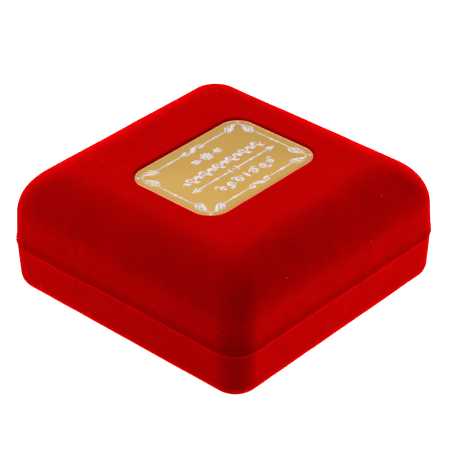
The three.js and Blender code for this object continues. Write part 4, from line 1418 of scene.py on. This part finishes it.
MEDAL_SIDES = 256
MEDAL_RIM_WIDTH = 2.4 * MM
MEDAL_RIM_ROUND = 0.6 * MM
MEDAL_FIELD_DROP = 1 * MM
MEDAL_FIELD_FILLET = 0.3 * MM
MEDAL_BACK_DROP = 0.3 * MM
MEDAL_PINHOLE = 0.02 * MM  # the smallest ring, in place of a point
MEDAL_FIELD = MEDAL_HIGH.z - MEDAL_FIELD_DROP
BEAD_CIRCLE = 31.2 * MM
BEAD_RADIUS = 0.42 * MM
BEAD_COUNT = 168
BEAD_SIDES = 10
STAR_RADIUS = 11.5 * MM
STAR_RISE = 0.95 * MM
STAR_EDGE = 0.25 * MM
STAR_POINTS = 5
WREATH_RADIUS = 23.5 * MM
LEAF_LENGTH = 6.8 * MM
LEAF_WIDTH = 2.9 * MM
LEAF_RISE = 0.75 * MM
LEAF_PAIRS = 12
LEAF_ROW_SHARE = 0.3
LEAF_SPREAD = 0.48
LEAF_SHRINK = 0.12  # towards the branches' ends
WREATH_START = 0.1
WREATH_END = 2.55
STEM_START = 0.004
STEM_POINTS = 61
STEM_TAPER = 0.45
STEM_WIDTH = 0.9 * MM
STEM_RISE = 0.45 * MM
KNOT_RADIUS = 1.9 * MM
KNOT_END_ACROSS = 1.7 * MM
KNOT_END_DOWN = 2.3 * MM
KNOT_END_LENGTH = 4.6 * MM
KNOT_END_WIDTH = 1.7 * MM
KNOT_END_LEAN = 0.62
RELIEF_SINK = 0.2 * MM


def medal_profile():
    """The struck blank from its back's middle round the rim to the middle of the field."""
    inner = MEDAL_RADIUS - MEDAL_RIM_WIDTH
    low, top = MEDAL_LOW.z, MEDAL_HIGH.z
    back = low + MEDAL_BACK_DROP
    foot = turn_out(MEDAL_RIM_ROUND, MEDAL_RIM_ROUND, EDGE_STEPS)
    crest = turn_in(MEDAL_RIM_ROUND, MEDAL_RIM_ROUND, EDGE_STEPS)
    fillet = turn_out(MEDAL_FIELD_FILLET, MEDAL_FIELD_FILLET, EDGE_STEPS)
    profile = [(radius, back) for radius in (0, *np.linspace(0.2, 1, 6) * (inner - MEDAL_BACK_DROP))]
    profile += [(inner, low)]
    profile += [(MEDAL_RADIUS - inward, low + rise) for inward, rise in foot]
    profile += [(MEDAL_RADIUS - inward, top - drop) for inward, drop in crest]
    profile += [(inner + outward, top - drop) for outward, drop in crest[::-1]]
    profile += [(inner - inward, MEDAL_FIELD + rise) for inward, rise in fillet[::-1]]
    profile += [(radius, MEDAL_FIELD) for radius in np.linspace(0.95, 0.1, 8) * inner]
    return [*profile, (0, MEDAL_FIELD)]


def medal_star():
    """A five-pointed star whose ridges fall from its middle to its points."""
    inner_share = math.sin(math.pi / 10) / math.sin(3 * math.pi / 10)
    corners = []
    for index in range(2 * STAR_POINTS):
        angle = math.pi / 2 + index * math.pi / STAR_POINTS
        corners.append(polar(STAR_RADIUS * (inner_share if index % 2 else 1), angle))
    corners = np.array(corners)
    sections = [
        ring(corners, MEDAL_FIELD - RELIEF_SINK),
        ring(corners, MEDAL_FIELD + STAR_EDGE * 0.7),
        ring(corners * 0.975, MEDAL_FIELD + STAR_EDGE),
        ring(corners * 0.02, MEDAL_FIELD + STAR_RISE),
    ]
    return tube(sections)


def medal_leaf(x, y, heading, length, width, rise):
    """A laurel leaf with a full edge, a pointed tip and a sunk midrib."""
    along = np.linspace(-0.999, 0.999, 15)
    across = np.linspace(-1, 1, 9)
    half = 0.5 * width * (1 - along**2) ** 0.75 * (1 - 0.18 * along)
    body = (1 - along**2) ** 0.4
    crown = np.sqrt(np.clip(1 - 0.93 * across**2, 0, 1)) - 0.34 * np.exp(-((across / 0.16) ** 2))
    top = np.stack([
        np.stack([np.full(len(across), a * length / 2), across * h, rise * b * crown * 1.06], axis=1)
        for a, h, b in zip(along, half, body)
    ])
    low = top[:, ::-1].copy()
    low[:, :, 2] = -RELIEF_SINK
    points, faces = tube(np.concatenate([top, low], axis=1))
    turn = Matrix.Rotation(heading, 3, "Z")
    points = points @ np.array(turn).T + np.array([x, y, MEDAL_FIELD])
    return points, faces


def medal_wreath():
    """Two laurel branches that meet at a knot at the bottom and leave the top open."""
    parts = []
    for side in (-1, 1):
        for index in range(LEAF_PAIRS):
            share = (index + 1) / LEAF_PAIRS
            angle = -math.pi / 2 + side * (WREATH_START + (WREATH_END - WREATH_START) * share)
            along = angle + side * math.pi / 2
            for row in (-1, 1):
                radius = WREATH_RADIUS + row * LEAF_ROW_SHARE * LEAF_LENGTH
                heading = along - side * row * LEAF_SPREAD
                size = 1 - LEAF_SHRINK * share
                parts.append(medal_leaf(
                    *polar(radius, angle), heading, LEAF_LENGTH * size, LEAF_WIDTH * size, LEAF_RISE
                ))
        turn = -math.pi / 2 + side * np.linspace(STEM_START, WREATH_END, STEM_POINTS)
        sections = []
        for angle, share in zip(turn, np.linspace(1, STEM_TAPER, STEM_POINTS)):
            half = STEM_WIDTH / 2 * share
            rim = [
                (-half, -RELIEF_SINK), (-half, STEM_RISE * 0.35), (-half * 0.55, STEM_RISE * 0.85),
                (0, STEM_RISE), (half * 0.55, STEM_RISE * 0.85), (half, STEM_RISE * 0.35),
                (half, -RELIEF_SINK),
            ]
            sections.append([(*polar(WREATH_RADIUS + r, angle), MEDAL_FIELD + z) for r, z in rim])
        parts.append(tube(sections))
    return parts + medal_knot()


def dome(x, y, radius, rise, sides, steps):
    """A low dome that stands on the field."""
    levels = [(1, -RELIEF_SINK)]
    levels += [(math.cos(angle), rise * math.sin(angle)) for angle in quarter_turn(steps)[:-1]]
    levels += [(0.06, rise)]
    circle = unit_circle(sides)
    centre = np.array([x, y])
    return tube([ring(centre + radius * share * circle, MEDAL_FIELD + z) for share, z in levels])


def medal_knot():
    """The knot at the wreath's foot: a round boss and two loose ends."""
    parts = [dome(0, -WREATH_RADIUS, KNOT_RADIUS, LEAF_RISE, ROUND_SIDES, 8)]
    for side in (-1, 1):
        place = (side * KNOT_END_ACROSS, -WREATH_RADIUS - KNOT_END_DOWN)
        heading = -math.pi / 2 + side * KNOT_END_LEAN
        parts.append(medal_leaf(*place, heading, KNOT_END_LENGTH, KNOT_END_WIDTH, LEAF_RISE * 0.6))
    return parts


class BuildMedal(bpy.types.Operator):
    """Strike the medal: rim, bead circle, laurel wreath and star"""

    bl_idname = "cased_medal.medal"
    bl_label = "Medal"

    def execute(self, context):
        circle = unit_circle(MEDAL_SIDES)
        blank = tube([ring(max(radius, MEDAL_PINHOLE) * circle, z) for radius, z in medal_profile()])
        parts = [blank, medal_star(), *medal_wreath()]
        for index in range(BEAD_COUNT):
            place = polar(BEAD_CIRCLE, 2 * math.pi * index / BEAD_COUNT)
            parts.append(dome(*place, BEAD_RADIUS, BEAD_RADIUS * 0.9, BEAD_SIDES, 3))
        medal = joined("struck_medal", parts, math.radians(30))
        dress(medal, medal_material(context.scene.case_looks.medal))
        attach(medal, "medal")
        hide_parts("medal")
        return {"FINISHED"}


# The lid's lining

PAD_REMESH = 1.6 * MM
PAD_SHRINK = 0.6 * MM
PAD_SWELL = 0.9 * MM
PAD_GLUED = 0.9 * MM  # the depth under the card where the cover is held
PAD_DRAWN_IN = 0.2 * MM
PAD_PRESSURE = 4.0
PAD_FRAMES = 20
PAD_ENLARGE = 3.0  # the cloth is blown up at this scale, where the solver is at home
GATHER_DEPTH = 0.5 * MM
GATHER_PITCH = 3.4 * MM
GATHER_REACH = 9 * MM
GATHER_SWAY = 2.2
GATHER_SWAY_SIZE = 11 * MM
GATHER_UNEVEN = 0.5
GATHER_UNEVEN_SIZE = 7 * MM
SLACK = 0.25 * MM
SLACK_SIZE = 16 * MM


def inflate(obj):
    """Blows the pad up as a sewn cover, held where it is glued to the card, and caps how far it swells."""
    mesh = obj.data
    count = len(mesh.vertices)
    rest = np.empty(count * 3)
    mesh.vertices.foreach_get("co", rest)
    rest = rest.reshape(-1, 3)
    mesh.vertices.foreach_set("co", (rest * PAD_ENLARGE).ravel())
    mesh.update()
    held = obj.vertex_groups.new(name="held")
    held.add([i for i in range(count) if rest[i, 2] > PAD_HIGH.z - PAD_GLUED], 1.0, "REPLACE")
    modifier = obj.modifiers.new("Cloth", "CLOTH")
    modifier.settings.use_pressure = True
    modifier.settings.uniform_pressure_force = PAD_PRESSURE
    modifier.settings.effector_weights.gravity = 0
    modifier.settings.vertex_group_mass = held.name
    scene = bpy.context.scene
    for step in range(1, PAD_FRAMES + 1):
        scene.frame_set(step)
    graph = bpy.context.evaluated_depsgraph_get()
    blown = np.empty(count * 3)
    obj.evaluated_get(graph).data.vertices.foreach_get("co", blown)
    move = blown.reshape(-1, 3) / PAD_ENLARGE - rest
    length = np.linalg.norm(move, axis=1, keepdims=True)
    move *= np.minimum(1, PAD_SWELL / np.maximum(length, 1e-9))
    obj.modifiers.clear()
    obj.vertex_groups.clear()
    scene.frame_set(1)
    mesh.vertices.foreach_set("co", (rest + move).ravel())
    mesh.update()


def gather(obj, middle):
    """Draws the cover into small gathers along its edge, where it is pulled round the card."""
    half_x = (PAD_HIGH.x - PAD_LOW.x) / 2
    half_y = (PAD_HIGH.y - PAD_LOW.y) / 2
    normals = [Vector(normal.vector) for normal in obj.data.vertex_normals]
    for vertex, normal in zip(obj.data.vertices, normals):
        x, y = vertex.co.x - middle.x, vertex.co.y - middle.y
        to_edge = min(half_x - abs(x), half_y - abs(y))
        along = y if half_x - abs(x) < half_y - abs(y) else x
        share = max(0.0, 1 - max(0.0, to_edge) / GATHER_REACH) ** 2
        sway = noise.noise(Vector((x, y, 0)) / GATHER_SWAY_SIZE) * GATHER_SWAY
        length = 1 + GATHER_UNEVEN * noise.noise(Vector((x, y, 5)) / GATHER_UNEVEN_SIZE)
        fold = math.sin(2 * math.pi * along / GATHER_PITCH + sway) * length
        slack = noise.noise(Vector((x, y, vertex.co.z)) / SLACK_SIZE) * SLACK
        if vertex.co.z < PAD_HIGH.z - PAD_GLUED:
            vertex.co += normal * (GATHER_DEPTH * share * fold - PAD_DRAWN_IN + slack)
    obj.data.update()


class BuildLidPad(bpy.types.Operator):
    """Stuff the satin pad in the lid and finish the card behind it"""

    bl_idname = "cased_medal.lid_pad"
    bl_label = "Lid Pad"

    def execute(self, context):
        looks = context.scene.case_looks
        pad = copy_of("lid_pad", "satin_pad")
        middle = (PAD_LOW + PAD_HIGH) / 2
        size = PAD_HIGH - PAD_LOW
        shrink = Vector((
            1 - 2 * PAD_SHRINK / size.x, 1 - 2 * PAD_SHRINK / size.y, 1 - PAD_SHRINK / size.z,
        ))
        pivot = Vector((middle.x, middle.y, PAD_HIGH.z))
        for vertex in pad.data.vertices:
            offset = vertex.co - pivot
            vertex.co = pivot + Vector(a * b for a, b in zip(offset, shrink))
        soften(pad, PAD_REMESH, 2)
        inflate(pad)
        gather(pad, middle)
        subdivide(pad, 1)
        dress(pad, satin_material(looks.satin))
        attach(pad, "case_lid")
        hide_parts("lid_pad")
        dress_node("lid_card", card_material(looks.card))
        return {"FINISHED"}


# The hinges

SPRING_THICKNESS = 0.35 * MM
SPRING_BEND = 0.7 * MM
SPRING_HOOK_REACH = 3.075 * MM
HINGE_BEVEL = 0.1 * MM
WELD_DISTANCE = 0.001 * MM
RIVET_HEAD_RADIUS = 1.4 * MM
RIVET_HEAD_HEIGHT = 0.6 * MM
RIVET_RADIUS = 0.6 * MM
RIVET_HOLLOW = [(0, 0.1 * MM), (0.18 * MM, 0.09 * MM), (0.34 * MM, 0.03 * MM)]
PIN_HEAD_RADIUS = 1 * MM
PIN_RADIUS = 0.55 * MM
PIN_HEAD_LENGTH = 0.5 * MM


def refined_copy(node_name, name):
    """A finer piece made from a frame node: edges bevelled, curves shaded smooth."""
    piece = copy_of(node_name, name)
    edit = bmesh.new()
    edit.from_mesh(piece.data)
    bmesh.ops.remove_doubles(edit, verts=edit.verts, dist=WELD_DISTANCE)
    bmesh.ops.dissolve_limit(edit, angle_limit=math.radians(2), verts=edit.verts, edges=edit.edges)
    edit.to_mesh(piece.data)
    edit.free()
    modifier = piece.modifiers.new("Edges", "BEVEL")
    modifier.width = HINGE_BEVEL
    modifier.segments = 2
    modifier.limit_method = "ANGLE"
    modifier.angle_limit = math.radians(40)
    modifier.use_clamp_overlap = True
    apply_modifiers(piece)
    piece.data.shade_smooth()
    piece.data.set_sharp_from_angle(angle=math.radians(50))
    return piece


def turned_piece(name, profile, axis, place):
    """A turned part from (radius, distance) points along an axis from a place."""
    piece = turned(name, profile, ROUND_SIDES)
    turn = Vector((0, 0, 1)).rotation_difference(Vector(axis)).to_matrix().to_4x4()
    piece.data.transform(Matrix.Translation(place) @ turn)
    return piece


def spring_strip(side):
    """The bowed spring with a rounded hook at each end."""
    low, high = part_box(f"{side}_hinge_spring")
    hook = (high.z - low.z) / 2 - SPRING_THICKNESS / 2
    bow = PIN_Y - low.y - SPRING_THICKNESS / 2
    start = PIN_Y - high.y
    reach = SPRING_HOOK_REACH

    def bend(first, control, last, steps):
        share = np.linspace(0, 1, steps + 1)[1:, None]
        first, control, last = map(np.array, (first, control, last))
        return (1 - share) ** 2 * first + 2 * share * (1 - share) * control + share**2 * last

    halfway = -(start + reach - SPRING_BEND) / 2
    upper = np.concatenate([
        [(-start, hook), (halfway, hook), (SPRING_BEND - reach, hook)],
        bend((SPRING_BEND - reach, hook), (-reach, hook), (-reach, hook - SPRING_BEND), 8),
        bend((-reach, hook - SPRING_BEND), (-bow, hook / 2), (-bow, 0), 24),
    ])
    path = np.concatenate([upper, upper[-2::-1] * (1, -1)])
    half = SPRING_THICKNESS / 2
    edge = half * 0.6
    sections = []
    for (y, z), (ay, az) in zip(path, sideways(path)):
        corners = [
            (low.x + edge, -half), (high.x - edge, -half), (high.x, -half + edge),
            (high.x, half - edge), (high.x - edge, half), (low.x + edge, half),
            (low.x, half - edge), (low.x, edge - half),
        ]
        sections.append([(x, PIN_Y + y + ay * t, SEAM_HEIGHT + z + az * t) for x, t in corners])
    return add_mesh(f"{side}_spring_strip", *tube(sections))


class BuildHinges(bpy.types.Operator):
    """Make both sprung hinges: leaves, pin, spring strip and rivets"""

    bl_idname = "cased_medal.hinges"
    bl_label = "Hinges"

    def execute(self, context):
        looks = context.scene.case_looks
        brass = metal_material("brassed_steel", looks.hinge)
        steel = metal_material("bright_spring", looks.spring)
        for side in HINGE_SIDES:
            for half, body in (("base", "case_base"), ("lid", "case_lid")):
                leaf = refined_copy(f"{side}_hinge_{half}_leaf", f"{side}_{half}_hinge_leaf")
                self.fit(leaf, brass, body, f"{side}_hinge_{half}_leaf", "hinge_metal")
                for number in (1, 2):
                    node_name = f"{side}_hinge_{half}_rivet_{number}"
                    rivet = self.rivet(node_name, f"{side}_{half}_rivet_{number}")
                    self.fit(rivet, brass, body, node_name, "hinge_metal")
            self.fit(self.pin(side), brass, "case_base", f"{side}_hinge_pin", "hinge_metal")
            spring = spring_strip(side)
            dress(spring, steel)
            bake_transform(spring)
            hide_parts(f"{side}_hinge_spring")
        return {"FINISHED"}

    @staticmethod
    def fit(piece, material, body, node_name, slot):
        """Dresses a hinge part and sets it in its node's place."""
        dress(piece, material)
        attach(piece, body)
        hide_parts(node_name)

    @staticmethod
    def rivet(node_name, name):
        """A rivet with a domed head and a slightly sunk middle."""
        low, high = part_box(node_name)
        x, z = (low.x + high.x) / 2, (low.z + high.z) / 2
        length = high.y - low.y
        crown = [
            (RIVET_HEAD_RADIUS * math.sin(angle), RIVET_HEAD_HEIGHT * (1 - math.cos(angle)))
            for angle in np.linspace(0.3, math.pi / 2, 9)
        ]
        profile = [*RIVET_HOLLOW, *crown, (RIVET_RADIUS, RIVET_HEAD_HEIGHT)]
        profile += [(RIVET_RADIUS, length), (0, length)]
        return turned_piece(name, profile, (0, 1, 0), (x, low.y, z))

    @staticmethod
    def pin(side):
        """The hinge's pin with a peened head at each end."""
        low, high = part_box(f"{side}_hinge_pin")
        length = high.x - low.x
        head, radius = PIN_HEAD_LENGTH, PIN_HEAD_RADIUS
        peen = [
            (radius * math.sin(angle), head * 0.8 * (1 - math.cos(angle)))
            for angle in np.linspace(0.12, math.pi / 2, 7)
        ]
        profile = [(0, 0), *peen, (radius, head), (PIN_RADIUS, head), (PIN_RADIUS, length - head)]
        profile += [(radius, length - head), *((r, length - z) for r, z in peen[::-1]), (0, length)]
        return turned_piece(f"{side}_pin", profile, (1, 0, 0), (low.x, PIN_Y, SEAM_HEIGHT))


# The stage

CAMERA_AZIMUTH = math.radians(-47.67)
CAMERA_ELEVATION = math.radians(33.33)
CAMERA_ROLL = math.radians(-0.285)
CAMERA_DISTANCE = 681.65 * MM
CAMERA_AIM_HEIGHT = 20 * MM
CAMERA_AIM_RIGHT = 0.249 * MM
CAMERA_AIM_UP = 0.358 * MM
CAMERA_LENS = 167.85  # millimetres
CAMERA_SENSOR = 36.0  # millimetres
FLOOR_RADIUS = 3.0
FLOOR_SIDES = 96
FLOOR_Z = -0.03 * MM
FLOOR_GLOW = 0.4  # what the floor sheds on the case
FLOOR_SEEN = 1.1  # what the camera sees of it, which is white
ROOM_LIGHT = 0.35
SOFTBOX_AIM = (0, 0, 20 * MM)
SOFTBOXES = (  # name, place in metres, size in metres and power in watts
    ("left_low_softbox", (-0.26, 0.1, 0.08), 0.12, 0.50),
    ("left_back_softbox", (-0.22, 0.22, 0.12), 0.15, 0.72),
    ("back_high_softbox", (0, 0.12, 0.3), 0.15, 0.40),
    ("right_low_softbox", (0.1, -0.28, 0.08), 0.12, 0.34),
    ("front_softbox", (0, -0.3, 0.15), 0.15, 0.98),
    ("front_high_softbox", (0.05, -0.2, 0.28), 0.15, 0.40),
)


def camera_axes():
    """The camera's right, up and backward directions."""
    azimuth, elevation = CAMERA_AZIMUTH, CAMERA_ELEVATION
    back = Vector((
        math.sin(azimuth) * math.cos(elevation),
        -math.cos(azimuth) * math.cos(elevation),
        math.sin(elevation),
    ))
    right = Vector((math.cos(azimuth), math.sin(azimuth), 0))
    up = back.cross(right)
    turn = Matrix.Rotation(CAMERA_ROLL, 3, back)
    return turn @ right, turn @ up, back


def add_softbox(name, place, size, power):
    """A square light that faces the case."""
    light = bpy.data.lights.new(name, "AREA")
    light.shape = "SQUARE"
    light.size = size
    light.energy = power
    obj = bpy.data.objects.new(name, light)
    obj.location = place
    obj.rotation_euler = (Vector(SOFTBOX_AIM) - Vector(place)).to_track_quat("-Z", "Y").to_euler()
    bpy.context.scene.collection.objects.link(obj)


class BuildStage(bpy.types.Operator):
    """Lay the pale floor, hang the soft lights and place the camera"""

    bl_idname = "cased_medal.stage"
    bl_label = "Studio Stage"

    def execute(self, context):
        scene = context.scene
        outline = FLOOR_RADIUS * unit_circle(FLOOR_SIDES)
        floor = add_mesh("studio_floor", ring(outline, FLOOR_Z), [tuple(range(FLOOR_SIDES))])
        material, tree, shader = new_material("studio_floor")
        seen = node(tree, "ShaderNodeLightPath").outputs["Is Camera Ray"]
        above = node(tree, "ShaderNodeNewGeometry").outputs["Backfacing"]  # the disc's face looks down
        feed(tree, shader, {
            "Base Color": (0.5, 0.5, 0.5, 1),
            "Roughness": 0.9,
            "Emission Color": (1, 1, 1, 1),
            "Emission Strength": map_range(tree, seen, 0, 1, FLOOR_GLOW, FLOOR_SEEN),
            "Alpha": above,
        })
        dress(floor, material)

        world = bpy.data.worlds.new("studio")
        world.use_nodes = True
        feed(world.node_tree, world.node_tree.nodes["Background"], {
            "Color": (1, 1, 1, 1), "Strength": ROOM_LIGHT,
        })
        scene.world = world
        scene.view_settings.view_transform = "Standard"
        for softbox in SOFTBOXES:
            add_softbox(*softbox)

        right, up, back = camera_axes()
        camera = bpy.data.cameras.new("camera")
        camera.lens = CAMERA_LENS
        camera.sensor_width = CAMERA_SENSOR
        camera.clip_start = 0.01
        camera.clip_end = 20
        obj = bpy.data.objects.new("camera", camera)
        aim = Vector((0, 0, CAMERA_AIM_HEIGHT)) + right * CAMERA_AIM_RIGHT + up * CAMERA_AIM_UP
        turn = Matrix((right, up, back)).transposed()
        obj.matrix_world = Matrix.Translation(aim + back * CAMERA_DISTANCE) @ turn.to_4x4()
        scene.collection.objects.link(obj)
        scene.camera = obj
        return {"FINISHED"}


OPERATORS = (
    BuildStage, BuildLidShell, BuildBaseShell, BuildFibres, BuildNamePlate, BuildInsert, BuildMedal,
    BuildLidPad, BuildHinges,
)


class CasedMedalPanel(bpy.types.Panel):
    """The sizes, colours and build steps of the cased medal"""

    bl_idname = "VIEW3D_PT_cased_medal"
    bl_label = "Cased Medal"
    bl_space_type = "VIEW_3D"
    bl_region_type = "UI"
    bl_category = "Cased Medal"

    def draw(self, context):
        for settings in (context.scene.case_sizes, context.scene.case_looks):
            column = self.layout.column(align=True)
            for name in settings.__annotations__:
                column.prop(settings, name)
        for operator in OPERATORS:
            self.layout.operator(operator.bl_idname)


SETTINGS = {"case_sizes": CaseSizes, "case_looks": CaseLooks}


def register():
    """Adds the settings, the operators and the panel."""
    for cls in (*SETTINGS.values(), *OPERATORS, CasedMedalPanel):
        bpy.utils.register_class(cls)
    for name, cls in SETTINGS.items():
        setattr(bpy.types.Scene, name, bpy.props.PointerProperty(type=cls))


def unregister():
    """Takes them off again."""
    for name in SETTINGS:
        delattr(bpy.types.Scene, name)
    for cls in reversed((*SETTINGS.values(), *OPERATORS, CasedMedalPanel)):
        bpy.utils.unregister_class(cls)


def main():
    register()
    for operator in OPERATORS:
        group, name = operator.bl_idname.split(".")
        getattr(getattr(bpy.ops, group), name)()


if __name__ == "__main__":
    main()
